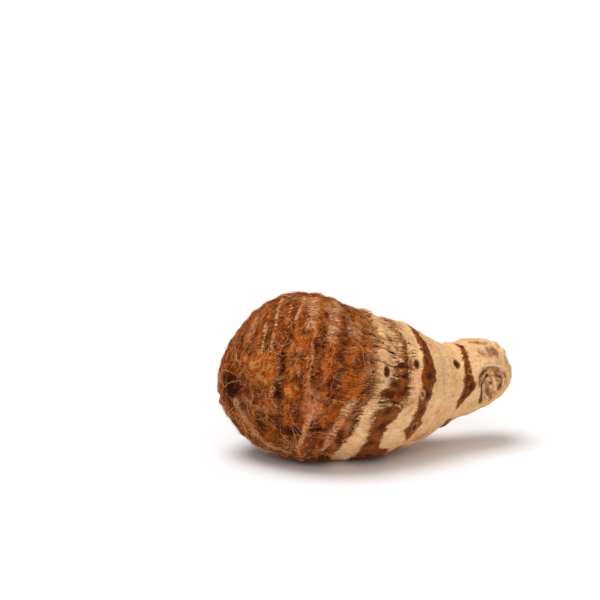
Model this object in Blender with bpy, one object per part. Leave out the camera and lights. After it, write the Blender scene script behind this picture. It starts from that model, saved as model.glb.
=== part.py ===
# Taro corm: one grown body, fat at the shoot end and drawn out to a neck.
# It lies on its side, the neck towards +X, and rests on a small flattened spot.
# Lengths are in millimetres until the mesh is made; angles are in degrees.
# "Round" angles go about the long axis: 0 is the top and 90 is the side at -Y.

import math

import bmesh
import bpy
import numpy as np

MM = 0.001

# Size of the whole corm.
LENGTH = 112.0
SIDE_TO_HEIGHT = 0.97

# Faces of the mesh: sides round the corm, and the rows from end to end.
SIDES = 54
TIP_ROWS = 14
TIP_REACH = 15.0
RIDGE_ROWS = (-2.0, 0.0, 1.7)
LEAST_ROW_GAP = 1.0
MOST_ROW_GAP = 2.7

# Fullness of the corm: (place along, radius it would have at mid length).
FULLNESS = ((0, 31), (10, 36.1), (24, 35.6), (34, 32.8), (46, 28.6),
            (58, 25.2), (70, 22.2), (84, 17.2), (96, 19.3), (112, 25))
# Height of the centre line: (place along, height).
CENTRE_HEIGHT = ((0, 29), (10, 30.1), (24, 31.8), (34, 31.8), (46, 29.2),
                 (58, 27.3), (70, 26.8), (84, 26), (96, 28.3), (112, 29))
# Sideways bend of the centre line: (place along, offset in Y).
CENTRE_BEND = ((0, 0), (28, -7), (56, -9), (84, -6), (112, 0))
# Tilt of the leaf rings to the side and from top to bottom: (place along, angle).
RING_YAW = ((0, -28), (30, -15), (62, 13), (80, 18), (100, 14), (112, 12))
RING_PITCH = ((0, 6), (33, 7), (62, 17), (80, 9), (100, 7), (112, 7))
# Share of the sideways tilt that is left on the far side, at +Y.
FAR_SIDE_TILT = 0.45
# How far a ring wanders along the corm: (distance, waves round, phase).
RING_WANDER = ((0.8, 2, 40), (0.4, 5, 110))
WANDER_FULL_RADIUS = 12.0
# The rows of faces follow the rings, but not this near to the tips.
ROWS_FREE = (2.0, 22.0)
# Rounds of the search for the place where a row crosses an angle.
ROW_ROUNDS = 30

# Ridges that the old leaf bases left: (ring, height), with a groove before each.
LEAF_RIDGES = ((0.4, 0.3), (2.0, 0.35), (4.2, 0.35), (7, 0.35), (10, 0.4), (15, 0.4),
               (20, 0.4), (26.5, 0.4), (32, 0.55), (36.5, 0.4), (41, 0.4), (46.5, 0.7),
               (53, 0.5), (62, 0.5), (70.5, 0.3), (77, 0.25), (84.5, 0.6),
               (91.5, 0.35), (99.5, 0.35), (106, 0.35))
RIDGE_HALF_WIDTH = 1.2
GROOVE_SHARE = 0.35
GROOVE_BEFORE = 2.2
LEAST_RING_SLOPE = 0.2
# Round the corm a ridge's height goes up and down by this share, in this many
# waves; the next ridge has its waves turned by the step.
RIDGE_CHANGE = 0.25
RIDGE_WAVES = 3
RIDGE_WAVE_STEP = 2.4
# The fibrous bark of the fat part stands this much above the neck's thin skin.
BARK_STEP = 0.5
BARK_END = 47.5
BARK_EDGE = 1.6

# Broad swellings: (height, length of a wave, waves round, phase).
SWELLINGS = ((0.6, 62, 2, 25), (0.45, 41, 3, 120), (0.3, 23, 4, 200), (0.2, 13, 7, 70))

# Scars: place along, angle round, half length, half width.
SCURF_PATCH = (10.5, 65, 8.0, 7.5)
SCURF_HEIGHT = 1.1
SCURF_CREASE = (16.2, 66, 2.0, 5.0)
CREASE_DEPTH = 1.3
SIDE_HOLLOW = (3.2, 80, 5.0, 7.0)
HOLLOW_DEPTH = 2.4
APEX_BUD = (0.6, 266, 4.6, 4.6)
APEX_HEIGHT = 1.2
BUD_SOCKETS = ((17.2, 87, 5.8, 5.8), (22, 214, 5.2, 5.6), (25, 318, 5.0, 5.6))
SOCKET_DEPTH = 1.5
SOCKET_RIM = 0.6
BUD_HEIGHT = 2.8
BUD_SHARE = 0.72
BUD_SHIFT = 1.2
FLAT_SCARS = ((31.5, 79, 3.8, 4.8), (40, 318, 3.8, 4.4),
              (27, 150, 4.0, 4.6), (41, 262, 4.2, 4.8))
FLAT_SCAR_RIM = 0.6
NECK_KNOT = (98, 92, 5.8, 6.6)
KNOT_RIM = 0.8
KNOT_DEPTH = 0.6
NODULES = ((105, 14, 2.2, 2.2), (107.5, 32, 2.0, 2.0), (100, 236, 2.2, 2.2))
NODULE_HEIGHT = 1.0
# A hump is flat on top out to this share of the scar's size.
HUMP_TOP = 0.3
# Half the width of a scar's rim, as a share of the scar's size.
RIM_WIDTH = 0.2
# The faces of a scar are split out to this share of its size, a socket's twice.
SPLIT_SHARE = 1.2
# A scar doesn't show through the body: its reach in depth.
SCAR_DEPTH_REACH = 9.0

# The underside loses its relief near the floor and is pressed flat.
RELIEF_FREE_HEIGHT = 4.5
REST_FLAT = 0.7
# The relief fades out this near to the two tips.
TIP_FADE = 1.5

SKIN_COLOUR = (0.36, 0.17, 0.065, 1.0)
SKIN_ROUGHNESS = 0.82


def clear_scene():
    for item in list(bpy.data.objects):
        bpy.data.objects.remove(item, do_unlink=True)


def through(stations, along):
    """Values of a smooth curve through the stations."""
    places = np.array([place for place, _ in stations], float)
    values = np.array([value for _, value in stations], float)
    slopes = np.gradient(values, places)
    along = np.clip(along, places[0], places[-1])
    left = np.clip(np.searchsorted(places, along) - 1, 0, len(places) - 2)
    gap = places[left + 1] - places[left]
    t = (along - places[left]) / gap
    start = (2 * t**3 - 3 * t**2 + 1) * values[left]
    start += (t**3 - 2 * t**2 + t) * gap * slopes[left]
    end = (3 * t**2 - 2 * t**3) * values[left + 1]
    end += (t**3 - t**2) * gap * slopes[left + 1]
    return start + end


def ramp(low, high, value):
    """0 below low, 1 above high and a smooth rise between."""
    t = np.clip((value - low) / (high - low), 0, 1)
    return t * t * (3 - 2 * t)


def radius(along):
    along = np.clip(along, 0, LENGTH)
    roundness = 2 * np.sqrt(along * (LENGTH - along)) / LENGTH
    return through(FULLNESS, along) * roundness


def skin_point(along, around):
    """A point of the smooth corm, before its relief."""
    reach = radius(along)
    y = through(CENTRE_BEND, along) - SIDE_TO_HEIGHT * reach * np.sin(around)
    z = through(CENTRE_HEIGHT, along) + reach * np.cos(around)
    return np.stack([along, y, z], axis=-1)


def ring_tilt(along):
    """Slopes of the ring planes, to the side and from top to bottom."""
    yaw = np.tan(np.radians(through(RING_YAW, along)))
    pitch = np.tan(np.radians(through(RING_PITCH, along)))
    return yaw, pitch


def ring_lean(along, around):
    """How far the leaf ring through a point is ahead of that point."""
    yaw, pitch = ring_tilt(along)
    reach = radius(along)
    near = np.sin(around)
    near = near * (1 + FAR_SIDE_TILT + (1 - FAR_SIDE_TILT) * near) / 2
    lean = -yaw * SIDE_TO_HEIGHT * reach * near - pitch * reach * np.cos(around)
    for distance, waves, phase in RING_WANDER:
        wander = distance * np.sin(waves * around + math.radians(phase))
        lean += wander * np.minimum(reach / WANDER_FULL_RADIUS, 1)
    return lean


def row_places():
    """Places of the rows: close at the tips and on the ridges, then even."""
    steps = np.arange(TIP_ROWS + 1) / TIP_ROWS
    tip = TIP_REACH * steps**2
    wanted = [ridge + offset for ridge, _ in LEAF_RIDGES for offset in RIDGE_ROWS]
    wanted = [place for place in wanted if TIP_REACH < place < LENGTH - TIP_REACH]
    places = list(tip)
    for place in sorted(wanted) + [LENGTH - TIP_REACH]:
        gap = place - places[-1]
        if gap < LEAST_ROW_GAP:
            continue
        pieces = math.ceil(gap / MOST_ROW_GAP)
        start = places[-1]
        places += [start + gap * piece / pieces for piece in range(1, pieces + 1)]
    return np.array(places + list(LENGTH - tip[-2::-1]))


def along_for_row(place, around):
    """Where the ring at a row's place crosses an angle, straight at the tips."""
    along = place.copy()
    follow = ramp(*ROWS_FREE, place) * ramp(*ROWS_FREE, LENGTH - place)
    for _ in range(ROW_ROUNDS):
        along = (along + place - follow * ring_lean(along, around)) / 2
    return along


def skin_frame(along, around):
    """Unit directions lengthwise, crosswise and outward on the smooth corm."""
    step = 0.05
    turn = 0.01
    no_radius = 0.01
    nearer = np.maximum(along - step, 0)
    further = np.minimum(along + step, LENGTH)
    lengthwise = skin_point(further, around) - skin_point(nearer, around)
    crosswise = skin_point(along, around + turn) - skin_point(along, around - turn)
    at_tip = radius(along)[..., None] < no_radius
    tip_side = np.sign(along - LENGTH / 2)[..., None] * np.array([1.0, 0.0, 0.0])
    outward = np.where(at_tip, tip_side, np.cross(crosswise, lengthwise))
    outward /= np.linalg.norm(outward, axis=-1, keepdims=True)
    lengthwise /= np.linalg.norm(lengthwise, axis=-1, keepdims=True)
    return lengthwise, np.cross(lengthwise, outward), outward


def scar_distance(scar, points):
    """Distance of the points from a scar's centre: 1 is its edge."""
    place, angle, half_length, half_width = scar
    along = np.array([float(place)])
    around = np.radians([float(angle)])
    centre = skin_point(along, around)[0]
    lengthwise, crosswise, outward = (part[0] for part in skin_frame(along, around))
    offset = points - centre
    u = offset @ lengthwise / half_length
    v = offset @ crosswise / half_width
    w = offset @ outward / SCAR_DEPTH_REACH
    return np.sqrt(u * u + v * v + w * w)


def hump(distance):
    """1 at the centre of a scar and 0 at its edge."""
    return 1 - ramp(HUMP_TOP, 1.0, distance)


def rim(distance):
    """1 along the edge of a scar."""
    return np.exp(-((distance - 1) / RIM_WIDTH) ** 2)


def bud_in(socket):
    """The bud that stands in a socket, nearer to its neck side."""
    place, angle, half_length, half_width = socket
    return place + BUD_SHIFT, angle, half_length * BUD_SHARE, half_width * BUD_SHARE


def ring_slope(along, around, outward):
    """Change of the ring place for each millimetre over the skin."""
    yaw, pitch = ring_tilt(along)
    side_share = (1 + FAR_SIDE_TILT) / 2 + (1 - FAR_SIDE_TILT) * np.sin(around)
    steepest = np.stack([np.ones_like(yaw), yaw * side_share, -pitch], axis=-1)
    across = np.cross(steepest, outward)
    return np.maximum(np.linalg.norm(across, axis=-1), LEAST_RING_SLOPE)


def leaf_ridge_relief(ring, around, slope):
    relief = np.zeros_like(ring)
    for number, (place, height) in enumerate(LEAF_RIDGES):
        wave = np.sin(RIDGE_WAVES * around + RIDGE_WAVE_STEP * number)
        strength = height * (1 - RIDGE_CHANGE + RIDGE_CHANGE * wave)
        away = (ring - place) / slope
        ridge = np.exp(-(away / RIDGE_HALF_WIDTH) ** 2)
        groove = np.exp(-((away + GROOVE_BEFORE) / RIDGE_HALF_WIDTH) ** 2)
        relief += strength * (ridge - GROOVE_SHARE * groove)
    return relief


def swelling_relief(along, around):
    relief = np.zeros_like(along)
    for height, wave, waves_round, phase in SWELLINGS:
        turn = math.radians(phase)
        lengthwise = np.sin(2 * math.pi * along / wave + turn)
        relief += height * lengthwise * np.sin(waves_round * around + 2 * turn)
    return relief


def scar_relief(points):
    relief = SCURF_HEIGHT * hump(scar_distance(SCURF_PATCH, points))
    relief -= CREASE_DEPTH * hump(scar_distance(SCURF_CREASE, points))
    relief -= HOLLOW_DEPTH * hump(scar_distance(SIDE_HOLLOW, points))
    relief += APEX_HEIGHT * hump(scar_distance(APEX_BUD, points))
    for socket in BUD_SOCKETS:
        distance = scar_distance(socket, points)
        relief += SOCKET_RIM * rim(distance) - SOCKET_DEPTH * hump(distance)
        relief += BUD_HEIGHT * hump(scar_distance(bud_in(socket), points))
    for scar in FLAT_SCARS:
        relief += FLAT_SCAR_RIM * rim(scar_distance(scar, points))
    distance = scar_distance(NECK_KNOT, points)
    relief += KNOT_RIM * rim(distance) - KNOT_DEPTH * hump(distance)
    for nodule in NODULES:
        relief += NODULE_HEIGHT * hump(scar_distance(nodule, points))
    return relief


def places_on_corm(sphere, rows):
    """Place along and angle round for each point of a unit sphere."""
    polar = np.arccos(np.clip(-sphere[:, 2] / np.linalg.norm(sphere, axis=1), -1, 1))
    around = np.arctan2(sphere[:, 1], sphere[:, 0])
    row = polar / math.pi * (len(rows) - 1)
    place = np.interp(row, np.arange(len(rows)), rows)
    return along_for_row(place, around), around


def shape_points(along, around):
    points = skin_point(along, around)
    outward = skin_frame(along, around)[2]
    ring = along + ring_lean(along, around)
    relief = leaf_ridge_relief(ring, around, ring_slope(along, around, outward))
    relief += swelling_relief(along, around)
    relief += scar_relief(points)
    relief += BARK_STEP * (1 - ramp(BARK_END - BARK_EDGE, BARK_END + BARK_EDGE, ring))
    low = points[:, 2].min()
    relief *= ramp(low, low + RELIEF_FREE_HEIGHT, points[:, 2])
    relief *= ramp(0, TIP_FADE, along) * ramp(0, TIP_FADE, LENGTH - along)
    return points + relief[:, None] * outward


def set_down(points):
    """Press the underside flat and centre the corm over the origin."""
    floor = points[:, 2].min() + REST_FLAT
    points[:, 2] = np.maximum(points[:, 2], floor)
    middle = (points.min(axis=0) + points.max(axis=0)) / 2
    return points - np.array([middle[0], middle[1], floor])


def coordinates(shape):
    return np.array([vertex.co[:] for vertex in shape.verts])


def split_scar_faces(shape, rows, scars):
    """Make the faces finer where the scars will be."""
    shape.verts.index_update()
    points = skin_point(*places_on_corm(coordinates(shape), rows))
    corners = [[vertex.index for vertex in face.verts] for face in shape.faces]
    middles = np.array([points[corner].mean(axis=0) for corner in corners])
    nearest = np.min([scar_distance(scar, middles) for scar in scars], axis=0)
    near = [face for face, gap in zip(shape.faces, nearest) if gap < SPLIT_SHARE]
    edges = list({edge for face in near for edge in face.edges})
    bmesh.ops.subdivide_edges(shape, edges=edges, cuts=1, use_grid_fill=True)


def make_skin_material():
    skin = bpy.data.materials.new("taro_skin")
    skin.use_nodes = True
    shader = skin.node_tree.nodes["Principled BSDF"]
    shader.inputs["Base Color"].default_value = SKIN_COLOUR
    shader.inputs["Roughness"].default_value = SKIN_ROUGHNESS
    shader.inputs["Metallic"].default_value = 0.0
    return skin


def make_corm(collection):
    rows = row_places()
    shape = bmesh.new()
    bmesh.ops.create_uvsphere(shape, u_segments=SIDES, v_segments=len(rows) - 1, radius=1)
    split_scar_faces(shape, rows, (APEX_BUD, NECK_KNOT) + BUD_SOCKETS + FLAT_SCARS + NODULES)
    split_scar_faces(shape, rows, BUD_SOCKETS)
    points = set_down(shape_points(*places_on_corm(coordinates(shape), rows)))
    for vertex, point in zip(shape.verts, points):
        vertex.co = point * MM
    mesh = bpy.data.meshes.new("taro_corm")
    shape.to_mesh(mesh)
    shape.free()
    mesh.shade_smooth()
    mesh.materials.append(make_skin_material())
    corm = bpy.data.objects.new("taro_corm", mesh)
    collection.objects.link(corm)
    return corm


def main():
    clear_scene()
    taro_root = bpy.data.collections.new("taro_root")
    bpy.context.scene.collection.children.link(taro_root)
    make_corm(taro_root)


main()
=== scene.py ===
import math
import bpy
import numpy as np
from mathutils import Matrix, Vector


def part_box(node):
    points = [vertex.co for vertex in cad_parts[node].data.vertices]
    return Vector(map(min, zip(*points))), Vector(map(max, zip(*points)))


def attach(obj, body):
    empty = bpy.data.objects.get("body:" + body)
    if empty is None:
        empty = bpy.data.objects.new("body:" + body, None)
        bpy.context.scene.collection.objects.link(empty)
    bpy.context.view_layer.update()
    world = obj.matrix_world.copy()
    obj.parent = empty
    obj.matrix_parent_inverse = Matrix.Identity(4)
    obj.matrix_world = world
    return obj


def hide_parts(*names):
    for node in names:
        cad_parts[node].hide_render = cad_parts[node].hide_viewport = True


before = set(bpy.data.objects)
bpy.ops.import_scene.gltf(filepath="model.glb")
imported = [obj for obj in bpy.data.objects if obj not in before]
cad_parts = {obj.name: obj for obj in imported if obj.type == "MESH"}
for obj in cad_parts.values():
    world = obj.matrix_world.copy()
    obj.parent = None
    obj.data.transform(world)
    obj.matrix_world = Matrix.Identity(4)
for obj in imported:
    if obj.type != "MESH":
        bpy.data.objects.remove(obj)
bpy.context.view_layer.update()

mm = 0.001


# The form of the corm, in millimetres and degrees.
# "along" runs from the fat end to the neck, "around" is 0 on top and 90 on the side at -Y.
cormForm = {
    "length": 112.0,
    "sideToHeight": 0.97,
    "fullness": [(0, 31), (10, 36.1), (24, 35.6), (34, 32.8), (46, 28.6),
                 (58, 25.2), (70, 22.2), (84, 17.2), (96, 19.3), (112, 25)],
    "centreHeight": [(0, 29), (10, 30.1), (24, 31.8), (34, 31.8), (46, 29.2),
                     (58, 27.3), (70, 26.8), (84, 26), (96, 28.3), (112, 29)],
    "centreBend": [(0, 0), (28, -7), (56, -9), (84, -6), (112, 0)],
    "ringYaw": [(0, -28), (30, -15), (62, 13), (80, 18), (100, 14), (112, 12)],
    "ringPitch": [(0, 6), (33, 7), (62, 17), (80, 9), (100, 7), (112, 7)],
    "farSideTilt": 0.45,
    "ringWander": [(0.8, 2, 40), (0.4, 5, 110)],     # distance, waves round, phase
    "wanderFullRadius": 12.0,
    "sampleStep": 0.05,                 # half the run over which a direction is measured
    "sampleTurn": 0.01,
    "tipRadius": 0.01,                  # the skin faces along the corm where it is thinner than this
    "leastRingSlope": 0.2,
    "scarReach": 9.0,                   # how far a scar reaches above and below the skin
}


def throughStations(stations, at):      # a smooth curve through given stations
    places = np.array([place for place, value in stations], float)
    values = np.array([value for place, value in stations], float)
    slopes = np.gradient(values, places)
    at = np.clip(at, places[0], places[-1])
    left = np.clip(np.searchsorted(places, at) - 1, 0, len(places) - 2)
    gap = places[left + 1] - places[left]
    t = (at - places[left]) / gap
    start = (2 * t**3 - 3 * t**2 + 1) * values[left] + (t**3 - 2 * t**2 + t) * gap * slopes[left]
    end = (3 * t**2 - 2 * t**3) * values[left + 1] + (t**3 - t**2) * gap * slopes[left + 1]
    return start + end


def ramp(low, high, value):             # 0 below low, 1 above high, smooth between
    t = np.clip((value - low) / (high - low), 0, 1)
    return t * t * (3 - 2 * t)


def cormRadius(along):
    length = cormForm["length"]
    along = np.clip(along, 0, length)
    return throughStations(cormForm["fullness"], along) * 2 * np.sqrt(along * (length - along)) / length


def skinPoint(along, around):
    reach = cormRadius(along)
    y = throughStations(cormForm["centreBend"], along)
    z = throughStations(cormForm["centreHeight"], along)
    y = y - cormForm["sideToHeight"] * reach * np.sin(around)
    return np.stack([along, y, z + reach * np.cos(around)], axis=-1)


def ringTilt(along):
    yaw = np.tan(np.radians(throughStations(cormForm["ringYaw"], along)))
    pitch = np.tan(np.radians(throughStations(cormForm["ringPitch"], along)))
    return yaw, pitch


def plainLean(along, around):           # how far a flat ring through a point is ahead of it
    yaw, pitch = ringTilt(along)
    reach = cormRadius(along)
    return -yaw * cormForm["sideToHeight"] * reach * np.sin(around) - pitch * reach * np.cos(around)


def ringLean(along, around):            # the same for a leaf ring, which bends and wanders
    yaw, pitch = ringTilt(along)
    reach = cormRadius(along)
    far = cormForm["farSideTilt"]
    near = np.sin(around)
    near = near * (1 + far + (1 - far) * near) / 2
    lean = -yaw * cormForm["sideToHeight"] * reach * near - pitch * reach * np.cos(around)
    for distance, waves, phase in cormForm["ringWander"]:
        wander = distance * np.sin(waves * around + math.radians(phase))
        lean = lean + wander * np.minimum(reach / cormForm["wanderFullRadius"], 1)
    return lean


def skinFrame(along, around):           # lengthwise, crosswise and outward directions
    length = cormForm["length"]
    step = cormForm["sampleStep"]
    turn = cormForm["sampleTurn"]
    ahead = skinPoint(np.minimum(along + step, length), around)
    lengthwise = ahead - skinPoint(np.maximum(along - step, 0), around)
    crosswise = skinPoint(along, around + turn) - skinPoint(along, around - turn)
    atTip = cormRadius(along)[..., None] < cormForm["tipRadius"]
    tipSide = np.sign(along - length / 2)[..., None] * np.array([1.0, 0.0, 0.0])
    outward = np.where(atTip, tipSide, np.cross(crosswise, lengthwise))
    outward = outward / np.linalg.norm(outward, axis=-1, keepdims=True)
    lengthwise = lengthwise / np.linalg.norm(lengthwise, axis=-1, keepdims=True)
    return lengthwise, np.cross(lengthwise, outward), outward


def ringSlope(along, around, outward):  # change of the ring place per millimetre of skin
    yaw, pitch = ringTilt(along)
    far = cormForm["farSideTilt"]
    sideShare = (1 + far) / 2 + (1 - far) * np.sin(around)
    steepest = np.stack([np.ones_like(yaw), yaw * sideShare, -pitch], axis=-1)
    return np.maximum(np.linalg.norm(np.cross(steepest, outward), axis=-1), cormForm["leastRingSlope"])


def scarDistance(scar, points):         # 0 at a scar's centre and 1 at its edge
    along, around, halfLength, halfWidth = scar[:4]
    along = np.array([float(along)])
    around = np.radians([float(around)])
    centre = skinPoint(along, around)[0]
    lengthwise, crosswise, outward = (part[0] for part in skinFrame(along, around))
    offset = points - centre
    u = offset @ lengthwise / halfLength
    v = offset @ crosswise / halfWidth
    w = offset @ outward / cormForm["scarReach"]
    return np.sqrt(u * u + v * v + w * w)


def hump(distance):
    return 1 - ramp(0.3, 1.0, distance)


def edgeOf(distance, width=0.2):
    return np.exp(-((distance - 1) / width) ** 2)


# Raised and sunken forms of the skin, as in the solid. Scars are
# (along, around, half length, half width).
cormRelief = {
    "ridgeHalfWidth": 1.2,
    "grooveShare": 0.35,
    "grooveBefore": 2.2,
    "ridgeChange": (0.25, 3, 2.4),      # share of the height, waves round, turn from ridge to ridge
    "leafRidges": [
        (0.4, 0.3), (2.0, 0.35), (4.2, 0.35), (7, 0.35), (10, 0.4), (15, 0.4), (20, 0.4), (26.5, 0.4),
        (32, 0.55), (36.5, 0.4), (41, 0.4), (46.5, 0.7), (53, 0.5), (62, 0.5), (70.5, 0.3), (77, 0.25),
        (84.5, 0.6), (91.5, 0.35), (99.5, 0.35), (106, 0.35)],
    "barkStep": (0.5, 47.5, 1.6),       # height, ring where it ends, half width of the edge
    "swellings": [(0.6, 62, 2, 25), (0.45, 41, 3, 120), (0.3, 23, 4, 200), (0.2, 13, 7, 70)],
    "scurfPatch": (10.5, 65, 8.0, 7.5),
    "scurfCrease": (16.2, 66, 2.0, 5.0),
    "sideHollow": (3.2, 80, 5.0, 7.0),
    "apexBud": (0.6, 266, 4.6, 4.6),
    "budSockets": [(17.2, 87, 5.8, 5.8), (22, 214, 5.2, 5.6), (25, 318, 5.0, 5.6)],
    "budShare": 0.72,
    "budShift": 1.2,
    "flatScars": [(31.5, 79, 3.8, 4.8), (40, 318, 3.8, 4.4), (27, 150, 4.0, 4.6), (41, 262, 4.2, 4.8)],
    "neckKnot": (98, 92, 5.8, 6.6),
    "nodules": [(105, 14, 2.2, 2.2), (107.5, 32, 2.0, 2.0), (100, 236, 2.2, 2.2)],
    "heights": {"scurfPatch": 1.1, "scurfCrease": -1.3, "sideHollow": -2.4, "apexBud": 1.2, "nodule": 1.0,
                "socketRim": 0.6, "socket": -1.5, "bud": 2.8, "scarRim": 0.6, "scarRing": 0.25,
                "knotRim": 0.8, "knot": -0.6},
}


def budIn(socket):
    along, around, halfLength, halfWidth = socket
    share = cormRelief["budShare"]
    return along + cormRelief["budShift"], around, halfLength * share, halfWidth * share


def ridgeRelief(ring, around, slope):
    relief = np.zeros_like(ring)
    width = cormRelief["ridgeHalfWidth"]
    change, waves, turn = cormRelief["ridgeChange"]
    for number, (place, height) in enumerate(cormRelief["leafRidges"]):
        away = (ring - place) / slope
        ridge = np.exp(-(away / width) ** 2)
        groove = np.exp(-((away + cormRelief["grooveBefore"]) / width) ** 2)
        strength = height * (1 - change + change * np.sin(waves * around + turn * number))
        relief += strength * (ridge - cormRelief["grooveShare"] * groove)
    return relief


def swellingRelief(along, around):
    relief = np.zeros_like(along)
    for height, wave, wavesRound, phase in cormRelief["swellings"]:
        turn = math.radians(phase)
        relief += height * np.sin(2 * math.pi * along / wave + turn) * np.sin(wavesRound * around + 2 * turn)
    return relief


def scarRelief(points):
    heights = cormRelief["heights"]
    relief = 0
    for name in ("scurfPatch", "scurfCrease", "sideHollow", "apexBud"):
        relief = relief + heights[name] * hump(scarDistance(cormRelief[name], points))
    for socket in cormRelief["budSockets"]:
        distance = scarDistance(socket, points)
        relief += heights["socketRim"] * edgeOf(distance) + heights["socket"] * hump(distance)
        relief += heights["bud"] * hump(scarDistance(budIn(socket), points))
    for scar in cormRelief["flatScars"]:
        distance = scarDistance(scar, points)
        relief += heights["scarRim"] * edgeOf(distance) + heights["scarRing"] * edgeOf(distance * 2)
    distance = scarDistance(cormRelief["neckKnot"], points)
    relief += heights["knotRim"] * edgeOf(distance) + heights["knot"] * hump(distance)
    for nodule in cormRelief["nodules"]:
        relief += heights["nodule"] * hump(scarDistance(nodule, points))
    return relief


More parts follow.
